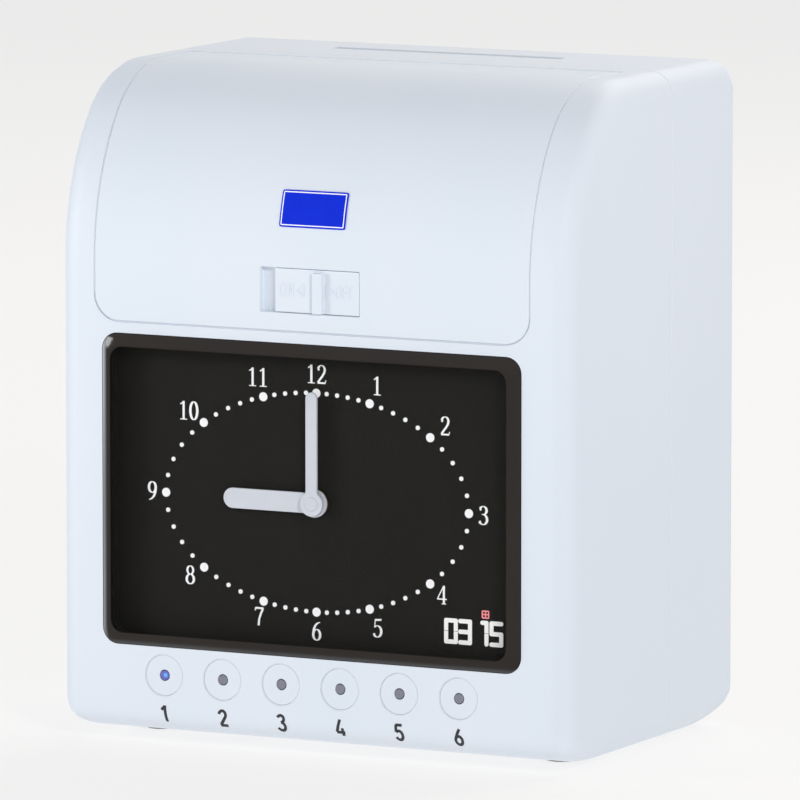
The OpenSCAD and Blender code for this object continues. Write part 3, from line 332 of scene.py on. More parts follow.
def lamp_lens():
    """Light pipes: the one under the first button is lit blue, with its bright die a little off the
    middle, and the others are grey."""
    finish = Finish("lamp_lens", {"IOR": 1.49, "Emission Strength": 1.0, "Coat Weight": 0.4,
                                  "Coat Roughness": 0.05})
    lit = finish.axis("X") < (BUTTON_X[0] + BUTTON_X[1]) / 2 * MM
    right = finish.axis("X") - (BUTTON_X[0] + 0.3) * MM
    up = finish.axis("Z") - (BUTTON_Z + 0.1) * MM
    die = 1.0 - (right * right + up * up).fade(0.0, 0.9 * MM * MM)
    fine = finish.grain(1400, 2.0)
    grey = finish.mix(fine, srgb(112, 113, 126), srgb(134, 135, 148))
    glow = finish.mix(die, srgb(22, 26, 62), srgb(30, 160, 255))
    return finish.set({
        "Base Color": finish.mix(lit, grey, srgb(92, 98, 172)),
        "Emission Color": finish.mix(lit, srgb(0, 0, 0), glow),
        "Roughness": fine * 0.1 + 0.2}).material


def mark_red():
    """Pale red ink, with a painted glow of its own colour."""
    # Painted glow: the ink gives off light of its own colour.
    finish = Finish("mark_red", {"Roughness": 0.5, "Emission Strength": 0.35})
    coat = finish.grain(2400, 2.0)
    ink = finish.mix(coat, srgb(226, 124, 130), srgb(238, 148, 154))
    return finish.set({"Base Color": ink, "Emission Color": ink}).material


def badge_blue():
    """Enamel of the blank badge plate."""
    finish = Finish("badge_blue", {"IOR": 1.5, "Specular IOR Level": 0.15})
    cloud = finish.grain(260, 2.0)
    fine = finish.grain(3000, 2.0)
    return finish.set({
        "Base Color": finish.mix(cloud, srgb(3, 40, 210), srgb(6, 48, 222)),
        "Roughness": fine * 0.08 + 0.25}).material


def metal(name, colour, shade, roughness, stretch, scale, pits=0.00001):
    """Metal with fine marks drawn along one axis, and a clouded sheen."""
    finish = Finish(name, {"Metallic": 1.0})
    marks = finish.grain(scale, 5.0, stretch, 0.7)
    cloud = finish.grain(40, 3.0)
    return finish.set({
        "Base Color": finish.mix(cloud * 0.6 + marks * 0.4, colour, shade),
        "Roughness": marks * 0.22 + cloud * 0.1 + (roughness - 0.14),
        "Normal": finish.relief(marks, pits)}).material


def steel_sheet():
    return metal("steel_sheet", srgb(196, 199, 204), srgb(170, 174, 181), 0.42, (1.0, 0.12, 1.0), 700)


def ground_steel():
    return metal("ground_steel", srgb(215, 217, 221), srgb(192, 195, 200), 0.24, (14.0, 1.0, 1.0),
                 300, 0.000004)


def brass_wheel():
    return metal("brass_wheel", srgb(217, 187, 112), srgb(196, 160, 84), 0.33, (1.0, 6.0, 1.0),
                 600, 0.000006)


def motor_can():
    return metal("motor_can", srgb(150, 153, 158), srgb(126, 129, 134), 0.36, (1.0, 8.0, 1.0), 420)


def clock_plastic():
    return moulded("clock_plastic", srgb(228, 226, 216), srgb(220, 217, 206), 0.45, 1400)


def white_gear():
    return moulded("white_gear", srgb(234, 232, 224), srgb(226, 223, 214), 0.4, 1800)


def black_plastic():
    return moulded("black_plastic", srgb(38, 38, 41), srgb(30, 30, 33), 0.45, 1600, 0.00002)


def grey_plastic():
    return moulded("grey_plastic", srgb(92, 95, 99), srgb(82, 85, 90), 0.45, 1500, 0.00002)


def knob_blue():
    return moulded("knob_blue", srgb(52, 98, 170), srgb(44, 88, 158), 0.4, 1700)


def battery_wrap():
    return moulded("battery_wrap", srgb(44, 122, 98), srgb(36, 108, 86), 0.28, 900, 0.000008, 0.5)


def rubber(name, colour, shade, roughness, scale, depth):
    """Rubber with a dull, slightly chalky skin."""
    finish = Finish(name, {"IOR": 1.42, "Sheen Weight": 0.15})
    fine = finish.grain(scale, 4.0)
    bloom = finish.grain(120, 3.0)
    return finish.set({
        "Base Color": finish.mix(bloom.fade(0.35, 0.75), colour, shade),
        "Roughness": fine * 0.12 + roughness,
        "Normal": finish.relief(fine, depth)}).material


def rubber_black():
    return rubber("rubber_black", srgb(34, 34, 35), srgb(46, 46, 48), 0.7, 1300, 0.00003)


def roller_rubber():
    return rubber("roller_rubber", srgb(44, 44, 46), srgb(56, 56, 58), 0.62, 2200, 0.00002)


def ribbon_ink():
    """Woven ribbon: crossed threads, wet with dark ink."""
    finish = Finish("ribbon_ink", {"IOR": 1.4, "Sheen Weight": 0.2})
    warp = finish.grain(900, 1.0, (0.25, 1.0, 5.0))
    weft = finish.grain(900, 1.0, (5.0, 1.0, 0.25))
    weave = warp * 0.5 + weft * 0.5
    return finish.set({
        "Base Color": finish.mix(weave, srgb(34, 28, 62), srgb(62, 52, 96)),
        "Roughness": weave * 0.3 + 0.45,
        "Normal": finish.relief(weave, 0.00004)}).material


def circuit_board():
    """Green mask over copper tracks, with tinned pads."""
    finish = Finish("circuit_board", {"IOR": 1.5, "Coat Weight": 0.3, "Coat Roughness": 0.15})
    across = finish.node("TexWave", {"bands_direction": "X", "wave_profile": "SAW"},
                         {"Vector": finish.place, "Scale": 190, "Distortion": 3.0, "Detail": 0.0,
                          "Detail Scale": 0.2})
    tracks = across.fade(0.45, 0.55)
    pads = finish.cells(420) < 0.2
    mask = finish.mix(tracks, srgb(24, 92, 52), srgb(38, 122, 70))
    return finish.set({
        "Base Color": finish.mix(pads, mask, srgb(190, 192, 190)),
        "Metallic": pads * 0.8,
        "Roughness": pads * 0.1 + 0.32,
        "Normal": finish.relief(tracks + pads, 0.00003)}).material


def transformer_iron():
    """Varnished edges of stacked laminations."""
    finish = Finish("transformer_iron", {"Metallic": 0.6, "IOR": 1.5})
    sheets = finish.node("TexWave", {"bands_direction": "Y"},
                         {"Vector": finish.place, "Scale": 600, "Distortion": 0.4, "Detail": 1.0})
    varnish = finish.grain(150, 3.0)
    return finish.set({
        "Base Color": finish.mix(varnish, srgb(64, 58, 54), srgb(96, 84, 70)),
        "Roughness": varnish * 0.3 + 0.3,
        "Normal": finish.relief(sheets, 0.00006)}).material


# Forms

def add_piece(name, mesh, body, materials, crease=CREASE):
    """New piece of the object, riding on a body, smooth but for edges sharper than crease."""
    piece = bpy.data.objects.new(name, mesh)
    bpy.context.scene.collection.objects.link(piece)
    for material in materials:
        mesh.materials.append(material)
    mesh.shade_smooth()
    mesh.set_sharp_from_angle(angle=math.radians(crease))
    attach(piece, body)
    return piece


def soften(piece, radius, segments=2):
    """Small radius along every sharp edge."""
    bevel = piece.modifiers.new("edge radius", "BEVEL")
    bevel.width = radius * MM
    bevel.segments = segments
    bevel.limit_method = "ANGLE"
    bevel.angle_limit = math.radians(CREASE)
    bevel.use_clamp_overlap = True
    bevel.miter_outer = "MITER_ARC"
    normals = piece.modifiers.new("flat faces", "WEIGHTED_NORMAL")
    normals.keep_sharp = True
    return piece


def moulding(node, materials, edge, segments=2, pick=None):
    """Finished form of a solid: its own faces, with the small edge radii of a moulding.
    pick gives the material's number for a face's centre and normal."""
    cad = frame["nodes"][node]
    weld, flat = 0.002 * MM, math.radians(0.3)
    form = bmesh.new()
    form.from_mesh(cad.data)
    bmesh.ops.remove_doubles(form, verts=form.verts, dist=weld)
    bmesh.ops.dissolve_limit(form, angle_limit=flat, verts=form.verts, edges=form.edges)
    if pick:
        for face in form.faces:
            face.material_index = pick(face.calc_center_median() / MM, face.normal)
    mesh = bpy.data.meshes.new(node + "_form")
    form.to_mesh(mesh)
    form.free()
    if "custom_normal" in mesh.attributes:
        mesh.attributes.remove(mesh.attributes["custom_normal"])
    piece = add_piece(node + "_form", mesh, cad["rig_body"], materials)
    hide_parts(node)
    return soften(piece, edge, segments)


def skin(x, z, lift):
    """Point on the skin of the housing and cover at a height, raised by lift. Heights past the top
    count on backwards along it."""
    if z > TOP_Z:
        return Vector((x, CROWN_Y + z - TOP_Z, TOP_Z + lift)) * MM
    if z < SOLE_Z:
        centre, radius = (FACE_Y + SOLE_R, SOLE_Z), SOLE_R
    elif z <= BROW_Z:
        return Vector((x, FACE_Y - lift, z)) * MM
    elif z <= BROW_END_Z:
        centre, radius = (FACE_Y + BROW_R, BROW_Z), BROW_R
    else:
        centre, radius = (CROWN_Y, CROWN_Z), CROWN_R
    rise = z - centre[1]
    run = math.sqrt(max(radius * radius - rise * rise, 0))
    scale = (radius + lift) / radius
    return Vector((x, centre[0] - run * scale, centre[1] + rise * scale)) * MM


def dial_face(x, z, lift):
    """Point on the dial, raised by lift."""
    return Vector((x, DIAL_Y - lift, z)) * MM


def slider_face(x, z, lift):
    """Point on the slider's plate, raised by lift."""
    return Vector((x, SLIDER_Y - lift, z)) * MM


def seam_plane(x, z, depth):
    """Point behind the front side of the seam."""
    return Vector((x, SEAM_Y + depth, z)) * MM


# Drawn strokes

def arc(cx, cz, rx, rz, start, end, steps=14):
    """Points of an ellipse's arc, in degrees."""
    turns = [math.radians(start + (end - start) * i / steps) for i in range(steps + 1)]
    return [(cx + rx * math.cos(turn), cz + rz * math.sin(turn)) for turn in turns]


def split(a, b, parts):
    """Points that cut the line from a to b into equal parts, its ends included."""
    return [(a[0] + (b[0] - a[0]) * k / parts, a[1] + (b[1] - a[1]) * k / parts)
            for k in range(parts + 1)]


def closer(line, step):
    """The same line with points no more than step apart."""
    result = [line[0]]
    for a, b in zip(line, line[1:]):
        result += split(a, b, max(math.ceil(math.dist(a, b) / step), 1))[1:]
    return result


def direction(points, i):
    """Run, rise and length of a line round one of its points."""
    ahead = points[min(i + 1, len(points) - 1)]
    behind = points[max(i - 1, 0)]
    run, rise = ahead[0] - behind[0], ahead[1] - behind[1]
    return run, rise, math.hypot(run, rise) or 1


def widths(points, thin, thick):
    """Half width at each point of a stroke: thick where it runs upright, thin where it runs level."""
    result = []
    for i in range(len(points)):
        run, rise, length = direction(points, i)
        result.append(thin + (thick - thin) * (abs(rise) / length) ** 1.6)
    return result


def stroke(form, points, half, place, low, high):
    """Raised band along a line, with its half width at each point. place puts it on a surface."""
    left, right = [], []
    for i, (x, z) in enumerate(points):
        run, rise, length = direction(points, i)
        across = (-rise / length * half[i], run / length * half[i])
        left.append((x + across[0], z + across[1]))
        right.append((x - across[0], z - across[1]))
    rings = []
    for a, b in zip(left, right):
        rings.append([form.verts.new(place(*a, high)), form.verts.new(place(*b, high)),
                      form.verts.new(place(*b, low)), form.verts.new(place(*a, low))])
    for first, second in zip(rings, rings[1:]):
        for k in range(4):
            form.faces.new((first[k], first[(k + 1) % 4], second[(k + 1) % 4], second[k]))
    form.faces.new(rings[0][::-1])
    form.faces.new(rings[-1])


def even_stroke(form, points, half, place, low, high):
    """Raised band of one width along a line."""
    stroke(form, points, [half] * len(points), place, low, high)


def outline(form, corners, half, place, low, high, step, parts=2):
    """Closed line with one stroke a side. Each is raised a step over the last, so that no two lie
    level at a corner."""
    for k, (a, b) in enumerate(zip(corners, corners[1:] + corners[:1])):
        even_stroke(form, split(a, b, parts), half, place, low, high + step * k)


def rectangle(x0, x1, z0, z1):
    return [(x0, z0), (x1, z0), (x1, z1), (x0, z1)]


def dot(form, x, z, radius, place, low, high, sides=16):
    """Raised round spot."""
    ring = arc(x, z, radius, radius, 0, 360, sides)[:-1]
    top = [form.verts.new(place(px, pz, high)) for px, pz in ring]
    foot = [form.verts.new(place(px, pz, low)) for px, pz in ring]
    form.faces.new(top)
    form.faces.new(foot[::-1])
    for i in range(sides):
        j = (i + 1) % sides
        form.faces.new((top[i], foot[i], foot[j], top[j]))


def serif_strokes(figure):
    """Strokes of a numeral with serifs, in a box 0.5 wide and 1 high, each with its thin and thick
    half widths, and its round ends as (x, z, radius)."""
    pen = (0.022, 0.068)
    if figure == 0:
        return [(arc(0.25, 0.5, 0.175, 0.475, 0, 360, 32), pen)], []
    if figure == 1:
        return [([(0.27, 0.0), (0.27, 0.5), (0.27, 0.985)], (0.06, 0.06)),
                ([(0.11, 0.82), (0.2, 0.88), (0.275, 0.965)], (0.026, 0.04)),
                ([(0.1, 0.024), (0.44, 0.024)], (0.024, 0.024))], []
    if figure == 2:
        neck = [(0.38, 0.6), (0.3, 0.44), (0.17, 0.24), (0.06, 0.07)]
        return [(arc(0.24, 0.74, 0.165, 0.235, 170, 0, 14) + neck, (0.022, 0.062)),
                ([(0.05, 0.045), (0.24, 0.048), (0.43, 0.045)], (0.045, 0.045)),
                ([(0.425, 0.04), (0.462, 0.2)], (0.02, 0.02))], [(0.1, 0.745, 0.055)]
    if figure == 3:
        ends = [(0.085, 0.8, 0.052), (0.06, 0.165, 0.056)]
        return [(arc(0.215, 0.765, 0.165, 0.212, 160, -80, 16), pen),
                (arc(0.205, 0.285, 0.2, 0.262, 85, -155, 18), pen),
                ([(0.14, 0.556), (0.25, 0.552)], (0.02, 0.02))], ends
    if figure == 4:
        return [([(0.345, 0.0), (0.345, 0.5), (0.345, 0.98)], (0.058, 0.058)),
                ([(0.34, 0.965), (0.19, 0.64), (0.035, 0.29)], (0.026, 0.026)),
                ([(0.02, 0.27), (0.24, 0.27), (0.48, 0.27)], (0.032, 0.032)),
                ([(0.24, 0.022), (0.45, 0.022)], (0.022, 0.022))], []
    if figure == 5:
        return [([(0.11, 0.925), (0.26, 0.93), (0.42, 0.95)], (0.05, 0.05)),
                ([(0.115, 0.94), (0.1, 0.72), (0.085, 0.52)], (0.022, 0.022)),
                (arc(0.215, 0.32, 0.2, 0.3, 128, -150, 20), pen)], [(0.062, 0.17, 0.054)]
    if figure == 6:
        return [(arc(0.43, 0.33, 0.345, 0.64, 92, 178, 14), (0.022, 0.064)),
                (arc(0.255, 0.305, 0.172, 0.285, 0, 360, 28), pen)], []
    if figure == 7:
        return [([(0.06, 0.925), (0.25, 0.925), (0.45, 0.925)], (0.05, 0.05)),
                ([(0.06, 0.95), (0.045, 0.78)], (0.022, 0.022)),
                ([(0.445, 0.93), (0.34, 0.66), (0.25, 0.36), (0.215, 0.0)], (0.024, 0.056))], []
    if figure == 8:
        return [(arc(0.25, 0.755, 0.148, 0.222, 0, 360, 28), (0.022, 0.058)),
                (arc(0.25, 0.277, 0.182, 0.255, 0, 360, 28), pen)], []
    strokes, ends = serif_strokes(6)
    return [([(0.5 - x, 1 - z) for x, z in points], pen) for points, pen in strokes], ends


def draw_numeral(form, number, x, z, height, place):
    """Serif numeral with its middle at x, z."""
    text = str(number)
    advance, wide, foot_depth, ink = 0.63, 1.18, -0.05, 0.16
    start = x - height * (advance * (len(text) - 1) + 0.5) / 2
    for k, character in enumerate(text):
        strokes, ends = serif_strokes(int(character))
        left, foot = start + k * advance * height, z - height / 2

        def spot(px, pz):
            return left + (0.25 + (px - 0.25) * wide) * height, foot + pz * height

        for level, (points, (thin, thick)) in enumerate(strokes):
            line = [spot(px, pz) for px, pz in points]
            half = [w * height for w in widths(points, thin, thick)]
            stroke(form, line, half, place, foot_depth, ink + 0.01 * level)
        for px, pz, radius in ends:
            dot(form, *spot(px, pz), radius * height, place, foot_depth, ink + 0.04)


def plain_strokes(character):
    """Centre lines of an even-stroked character, in a box 0.56 wide and 1 high."""
    if character == "1":
        return [[(0.1, 0.72), (0.32, 0.955)], [(0.33, 0.0), (0.33, 0.5), (0.33, 1.0)]]
    if character == "2":
        neck = [(0.34, 0.43), (0.2, 0.24), (0.06, 0.055)]
        return [arc(0.27, 0.71, 0.215, 0.245, 172, -22, 16) + neck, [(0.03, 0.045), (0.52, 0.045)]]
    if character == "3":
        return [arc(0.26, 0.75, 0.205, 0.21, 158, -90, 16),
                arc(0.26, 0.285, 0.24, 0.255, 90, -158, 20)]
    if character == "4":
        return [[(0.29, 1.0), (0.16, 0.6), (0.03, 0.225)], [(0.02, 0.22), (0.55, 0.22)],
                [(0.41, 0.0), (0.41, 0.24), (0.41, 0.48)]]
    if character == "5":
        return [[(0.07, 0.955), (0.47, 0.955)], [(0.09, 0.97), (0.085, 0.75), (0.08, 0.53)],
                arc(0.25, 0.325, 0.225, 0.28, 138, -155, 20)]
    if character == "6":
        return [arc(0.27, 0.305, 0.215, 0.26, 0, 360, 26), [(0.075, 0.42), (0.19, 0.7), (0.33, 1.0)]]
    if character == "O":
        return [arc(0.28, 0.5, 0.23, 0.455, 0, 360, 28)]
    if character == "N":
        return [[(0.07, 0.0), (0.07, 1.0)], [(0.07, 0.97), (0.49, 0.03)], [(0.49, 0.0), (0.49, 1.0)]]
    return [[(0.09, 0.0), (0.09, 1.0)], [(0.09, 0.955), (0.47, 0.955)], [(0.09, 0.52), (0.42, 0.52)]]


def draw_plain(form, text, x, z, height, weight, place, low, high, advance=0.72, slim=1.0):
    """Even-stroked text with its middle at x, z. weight is half a stroke's width."""
    start = x - height * (advance * (len(text) - 1) + 0.56 * slim) / 2
    for k, character in enumerate(text):
        left, foot = start + k * advance * height, z - height / 2
        for level, points in enumerate(plain_strokes(character)):
            line = closer([(left + px * height * slim, foot + pz * height) for px, pz in points], 0.6)
            even_stroke(form, line, weight, place, low, high + 0.006 * level)


def drawn_piece(name, form, body, material):
    """Piece made of what was drawn into form."""
    mesh = bpy.data.meshes.new(name)
    bmesh.ops.recalc_face_normals(form, faces=form.faces)
    form.to_mesh(mesh)
    form.free()
    return add_piece(name, mesh, body, [material], crease=30)


# Sub-parts

def in_window_seat(centre, normal):
    """1 on the window's seat and the dial's well, which are as black as the dial, and 0 elsewhere."""
    near = (abs(centre.x) < WELL_X + SEAT_REACH
            and WELL_LOW - SEAT_REACH < centre.z < WELL_HIGH + SEAT_REACH)
    sunk = FACE_Y + 0.3 < centre.y < DIAL_Y + 0.1
    faces_inside = normal.y >= 0.5
    return int(near and sunk and not faces_inside)


def dress_housing(look):
    """Both halves of the housing."""
    white, black = look["housing_white"], look["dial_black"]
    moulding("front_housing", [white, black], 0.35, pick=in_window_seat)
    moulding("rear_housing", [white], 0.35)


def seal_cover(look):
    """Pale strips a little under the skin, in the gap round the cover, that paint out the shade in
    it.
    """
    form = bmesh.new()
    foot, half = -1.3, 0.2
    middle = COVER_GAP / 2 + 0.02
    side, low, radius = COVER_X + middle, COVER_Z - middle, COVER_CORNER + middle
    corner_x, corner_z = side - radius, low + radius
    line = arc(-corner_x, corner_z, radius, radius, 180, 270)
    line += [(corner_x * k / 4, low) for k in range(-3, 4)]
    line += arc(corner_x, corner_z, radius, radius, 270, 360)
    even_stroke(form, line, half, skin, foot, -0.6)
    front = [corner_z + (BROW_Z - corner_z) * k / 3 for k in range(3)]
    brow = [BROW_Z + BROW_R * math.sin(math.radians(a)) for a in range(0, 36, 3)]
    crown = [CROWN_Z + CROWN_R * math.sin(math.radians(a)) for a in range(37, 88, 4)]
    top = [TOP_Z + 0.01, TOP_Z + 8, TOP_Z + 19]
    for x in (-side, side):
        even_stroke(form, [(x, z) for z in front + brow + crown + top], half, skin, foot, -0.3)
    # Pale strip in the gap behind the hinge, that paints out its shade.
    hinge = BARREL_BACK + 0.3 - CROWN_Y + TOP_Z
    even_stroke(form, split((-COVER_X, hinge), (COVER_X, hinge), 2), 0.19, skin, -1.2, -0.03)
    drawn_piece("cover_gap_filler", form, "housing", look["seal_grey"])


def seat_buttons(look):
    """Pale ring a little under the skin, in the gap round each button, that paints out the shade in
    it.
    """
    form = bmesh.new()
    radius = BUTTON_R + 0.235
    for x in BUTTON_X:
        even_stroke(form, arc(x, BUTTON_Z, radius, radius, 0, 360, 48), 0.16, skin, -1.2, -0.26)
    drawn_piece("button_gap_fillers", form, "housing", look["seal_grey"])


def fill_seam(look):
    """Pale strip a little under the skin, all round the seam of the housing's halves, that paints out
    the shade of the seam.
    """
    form = bmesh.new()
    sunk, clear = 0.5, 0.02
    radius = EDGE_R - sunk
    side, low, high = SIDE_X - EDGE_R, UNDERSIDE_Z + EDGE_R, TOP_Z - EDGE_R
    ring = arc(side, high, radius, radius, 0, 90, 8) + arc(-side, high, radius, radius, 90, 180, 8)
    ring += arc(-side, low, radius, radius, 180, 270, 8) + arc(side, low, radius, radius, 270, 360, 8)
    even_stroke(form, ring + ring[:1], 0.3, seam_plane, clear, SEAM_GAP - clear)
    drawn_piece("seam_strip", form, "housing", look["seal_grey"])


def dress_cover(look):
    """Access cover and its slider."""
    moulding("access_cover", [look["cover_white"]], 0.25)
    moulding("cover_slider", [look["cover_white"]], 0.2)


def in_window_border(centre, normal):
    """1 on the window's bevel and on its border, and 0 on its clear pane."""
    on_bevel = centre.y < FACE_Y - 0.6 and abs(normal.y) < 0.97
    on_border = abs(centre.x) > PANE_X or not PANE_LOW < centre.z < PANE_HIGH
    return int(on_bevel or on_border)


def dress_window(look):
    """Clear pane with a dark border."""
    moulding("window_lens", [look["clear_acrylic"], look["window_border"]], 0.3,
             pick=in_window_border)


def dress_buttons(look):
    for number in range(1, 7):
        moulding(f"button_{number}", [look["button_white"]], 0.45, 3)


def dress_dial(look):
    """Hands, display, and the film that covers the gap round the display."""
    moulding("hour_hand", [look["hand_grey"]], 0.18)
    moulding("minute_hand", [look["hand_grey"]], 0.18)
    moulding("display_module", [look["display_black"]], 0.05, 1)
    form = bmesh.new()
    corners = rectangle(DISPLAY_X - DISPLAY_RIM_X, DISPLAY_X + DISPLAY_RIM_X,
                        DISPLAY_Z - DISPLAY_RIM_Z, DISPLAY_Z + DISPLAY_RIM_Z)
    outline(form, corners, 0.22, dial_face, -0.03, 0.02, 0.003)
    drawn_piece("display_surround", form, "housing", look["dial_black"])


def dress_mechanism(look):
    """Pieces of the inside with round edges."""
    for node, slot, edge in MECHANISM:
        moulding(node, [look[slot]], edge)


def print_dial(look):
    form = bmesh.new()
    for number, (x, z) in NUMERALS.items():
        draw_numeral(form, number, x, DIAL_Z + z, NUMERAL_HEIGHT, dial_face)
    drawn_piece("dial_numerals", form, "housing", look["dial_print"])


def print_day_mark(look):
    """Small red mark over the date: a square with a cross in it."""
    form = bmesh.new()
    x, z, half, foot, ink = 62.4, DIAL_Z - 33.1, 1.15, -0.05, 0.16
    outline(form, rectangle(x - half, x + half, z - half, z + half), 0.21, dial_face, foot, ink, 0.01)
    even_stroke(form, split((x - half, z), (x + half, z), 2), 0.2, dial_face, foot, ink - 0.02)
    even_stroke(form, split((x, z - half), (x, z + half), 2), 0.2, dial_face, foot, ink - 0.03)
    drawn_piece("day_mark", form, "housing", look["mark_red"])


def print_button_numbers(look):
    form = bmesh.new()
    z, height, weight = 11.1, 5.7, 0.5
    for number, x in enumerate(BUTTON_X, 1):
        draw_plain(form, str(number), x, z, height, weight, skin, -0.06, 0.05)
    drawn_piece("button_numbers", form, "housing", look["number_black"])


def mould_slider_marks(look):
    """Raised ON and OFF with their arrows on the slider plate."""
    form = bmesh.new()
    foot, rise, height, weight = -0.1, 0.2, 4.5, 0.26
    for text, x, advance, slim in (("ON", -8.8, 0.68, 0.9), ("OFF", 12.6, 0.54, 0.75)):
        draw_plain(form, text, x, SLIDER_Z, height, weight, slider_face, foot, rise, advance, slim)
    for tip, back in ((-4.9, -2.4), (8.6, 6.1)):
        arrow = [(tip, SLIDER_Z), (back, SLIDER_Z + 2.1), (back, SLIDER_Z - 2.1)]
        outline(form, arrow, 0.2, slider_face, foot, rise, 0.006)
    drawn_piece("slider_marks", form, "slider", look["cover_white"])


def plate_on_skin(form, x0, x1, z0, z1, radius, low, high):
    """Thin plate with blunt corners that follows the cover's curve."""
    steps_x, steps_z = 20, 12
    middle_x, middle_z = (x0 + x1) / 2, (z0 + z1) / 2
    grid = {}
    for i in range(steps_x + 1):
        for j in range(steps_z + 1):
            x = x0 + (x1 - x0) * i / steps_x
            z = z0 + (z1 - z0) * j / steps_z
            over_x = max(abs(x - middle_x) - ((x1 - x0) / 2 - radius), 0)
            over_z = max(abs(z - middle_z) - ((z1 - z0) / 2 - radius), 0)
            reach = math.hypot(over_x, over_z)
            if reach > radius:
                pull = 1 - radius / reach
                x -= math.copysign(over_x * pull, x - middle_x)
                z -= math.copysign(over_z * pull, z - middle_z)
            grid[i, j] = [form.verts.new(skin(x, z, h)) for h in (high, low)]
    for i in range(steps_x):
        for j in range(steps_z):
            ring = [grid[i, j], grid[i + 1, j], grid[i + 1, j + 1], grid[i, j + 1]]
            form.faces.new([v[0] for v in ring])
            form.faces.new([v[1] for v in ring][::-1])
    print_with_painted_highlight = [(i, 0) for i in range(steps_x)] + [(steps_x, j) for j in range(steps_z)]
    print_with_painted_highlight += [(i, steps_z) for i in range(steps_x, 0, -1)] + [(0, j) for j in range(steps_z, 0, -1)]
    for a, b in zip(print_with_painted_highlight, print_with_painted_highlight[1:] + print_with_painted_highlight[:1]):
        form.faces.new((grid[a][0], grid[a][1], grid[b][1], grid[b][0]))


def fix_badge(look):
    """Blank enamel plate with a fine white line round it."""
    form = bmesh.new()
    plate_on_skin(form, *BADGE, 0.5, -0.1, 0.32)
    soften(drawn_piece("badge_plate", form, "cover", look["badge_blue"]), 0.08)
    form = bmesh.new()
    outline(form, rectangle(*BADGE_LINE), 0.17, skin, 0.2, 0.36, 0.006, parts=10)
    drawn_piece("badge_line", form, "cover", look["dial_print"])


def finish_nodes(look):
    """Every solid that stays in view takes the finish of its slot."""
    slots = {part["node"]: part["material_slot"] for part in frame["record"]["subparts"]}
    for name, node in frame["nodes"].items():
        material = look[slots[name]]
        if not node.material_slots:
            node.data.materials.append(material)
        for place in node.material_slots:
            place.material = material


# Studio

def area_lamp(name, place, aim, width, height, power, colour):
    """Rectangular lamp that faces aim."""
    lamp = bpy.data.lights.new(name, "AREA")
    lamp.shape = "RECTANGLE"
    lamp.size = width
    lamp.size_y = height
    lamp.energy = power
    lamp.color = colour
    stand = bpy.data.objects.new(name, lamp)
    stand.location = place
    stand.rotation_euler = (Vector(aim) - Vector(place)).to_track_quat("-Z", "Y").to_euler()
    bpy.context.scene.collection.objects.link(stand)


def light_studio():
    """Key lamp in front on the right, a weak one low on the left, and a wide one over the back."""
    target = (0, 0, 0.11)
    area_lamp("key", (1.18, -1.18, 0.84), target, 0.36, 0.36, 13.2, (1.0, 0.99, 0.98))
    area_lamp("front", (-0.86, -0.6, 0.32), target, 0.3, 0.3, 3.8, (0.98, 0.99, 1.0))
    area_lamp("back", (0.2, 1.4, 1.51), target, 1.8, 1.0, 21, (1.0, 0.95, 0.9))


def background(nodes, colour, strength):
    """Even light of the world, as the output of its node."""
    made = nodes.new("ShaderNodeBackground")
    made.inputs["Color"].default_value = (*colour, 1)
    made.inputs["Strength"].default_value = strength
    return made.outputs[0]


def fill_world():
    """White where it is seen or mirrored, and a soft cool fill elsewhere."""
    world = bpy.data.worlds.new("studio")
    bpy.context.scene.world = world
    world.use_nodes = True
    nodes, links = world.node_tree.nodes, world.node_tree.links
    nodes.clear()
    path = nodes.new("ShaderNodeLightPath")
    mix = nodes.new("ShaderNodeMixShader")
    links.new(path.outputs["Is Diffuse Ray"], mix.inputs[0])
    links.new(background(nodes, (1, 1, 1), 1.0), mix.inputs[1])
    links.new(background(nodes, (0.93, 0.96, 1.0), 0.265), mix.inputs[2])
    output = nodes.new("ShaderNodeOutputWorld")
    links.new(mix.outputs[0], output.inputs["Surface"])


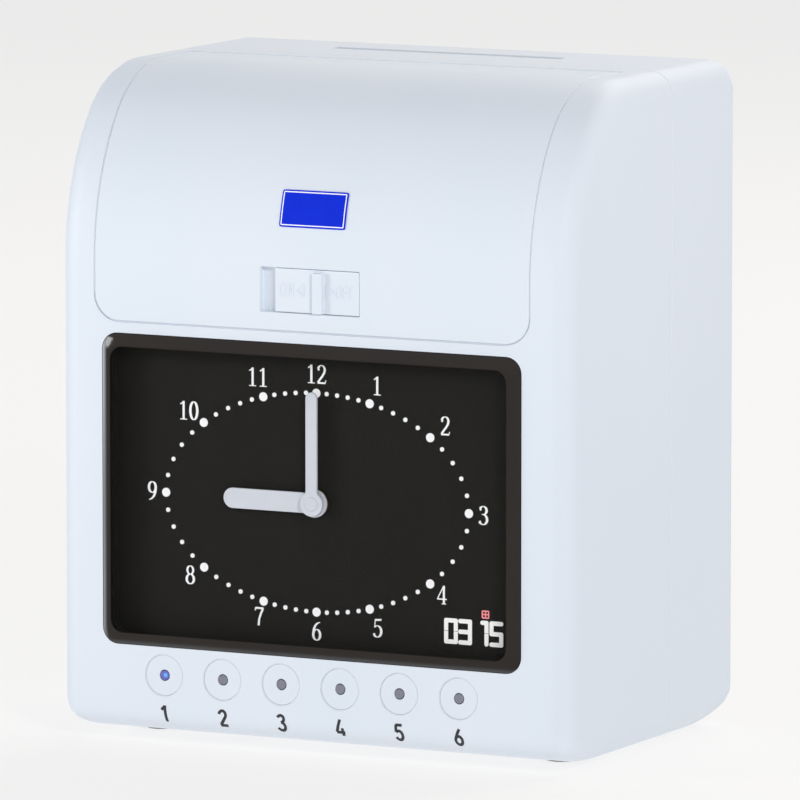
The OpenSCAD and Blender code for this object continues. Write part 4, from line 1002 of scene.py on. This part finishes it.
def lay_floor():
    """Pale, lit floor that keeps a soft shadow."""
    mesh = bpy.data.meshes.new("floor")
    size = 14
    corners = [(-size, -size, 0), (size, -size, 0), (size, size, 0), (-size, size, 0)]
    mesh.from_pydata(corners, [], [(0, 1, 2, 3)])
    floor = bpy.data.objects.new("floor", mesh)
    bpy.context.scene.collection.objects.link(floor)
    finish = Finish("floor_white", {"Base Color": (0.86, 0.83, 0.8, 1), "Specular IOR Level": 0.1})
    finish.set({"Roughness": finish.grain(240, 3.0) * 0.1 + 0.8})
    nodes, links = finish.tree.nodes, finish.tree.links
    glow = nodes.new("ShaderNodeEmission")
    glow.inputs["Strength"].default_value = 1.0
    mixed = nodes.new("ShaderNodeMixShader")
    mixed.inputs[0].default_value = 0.75
    links.new(finish.surface.outputs[0], mixed.inputs[1])
    links.new(glow.outputs[0], mixed.inputs[2])
    links.new(mixed.outputs[0], nodes["Material Output"].inputs["Surface"])
    mesh.materials.append(finish.material)


def set_camera():
    """Long lens from the front right, a little above the recorder."""
    lens = bpy.data.cameras.new("camera")
    lens.sensor_width = 36
    lens.lens = 460.26
    lens.clip_end = 60
    camera = bpy.data.objects.new("camera", lens)
    camera.location = (1.5353, -3.0361, 0.5557)
    aim = Vector((-0.44733, 0.88498, -0.12923))
    camera.rotation_euler = aim.to_track_quat("-Z", "Y").to_euler()
    bpy.context.scene.collection.objects.link(camera)
    bpy.context.scene.camera = camera


FINISHES = (housing_white, cover_white, button_white, clear_acrylic, window_border, dial_black,
            dial_print, seal_grey, number_black, hand_grey, display_black, display_light, lamp_lens,
            mark_red, badge_blue, steel_sheet, ground_steel, brass_wheel, clock_plastic, white_gear,
            black_plastic, grey_plastic, ribbon_ink, knob_blue, circuit_board, motor_can,
            transformer_iron, battery_wrap, rubber_black, roller_rubber)


def main():
    for packed in list(bpy.data.materials):
        packed.name = "packed_" + packed.name
    look = {material.name: material for material in (make() for make in FINISHES)}
    finish_nodes(look)
    dress_housing(look)
    seal_cover(look)
    seat_buttons(look)
    fill_seam(look)
    dress_cover(look)
    dress_window(look)
    dress_buttons(look)
    dress_dial(look)
    dress_mechanism(look)
    print_dial(look)
    print_day_mark(look)
    print_button_numbers(look)
    mould_slider_marks(look)
    fix_badge(look)
    light_studio()
    fill_world()
    lay_floor()
    set_camera()
    bpy.context.scene.view_settings.view_transform = "Standard"


main()
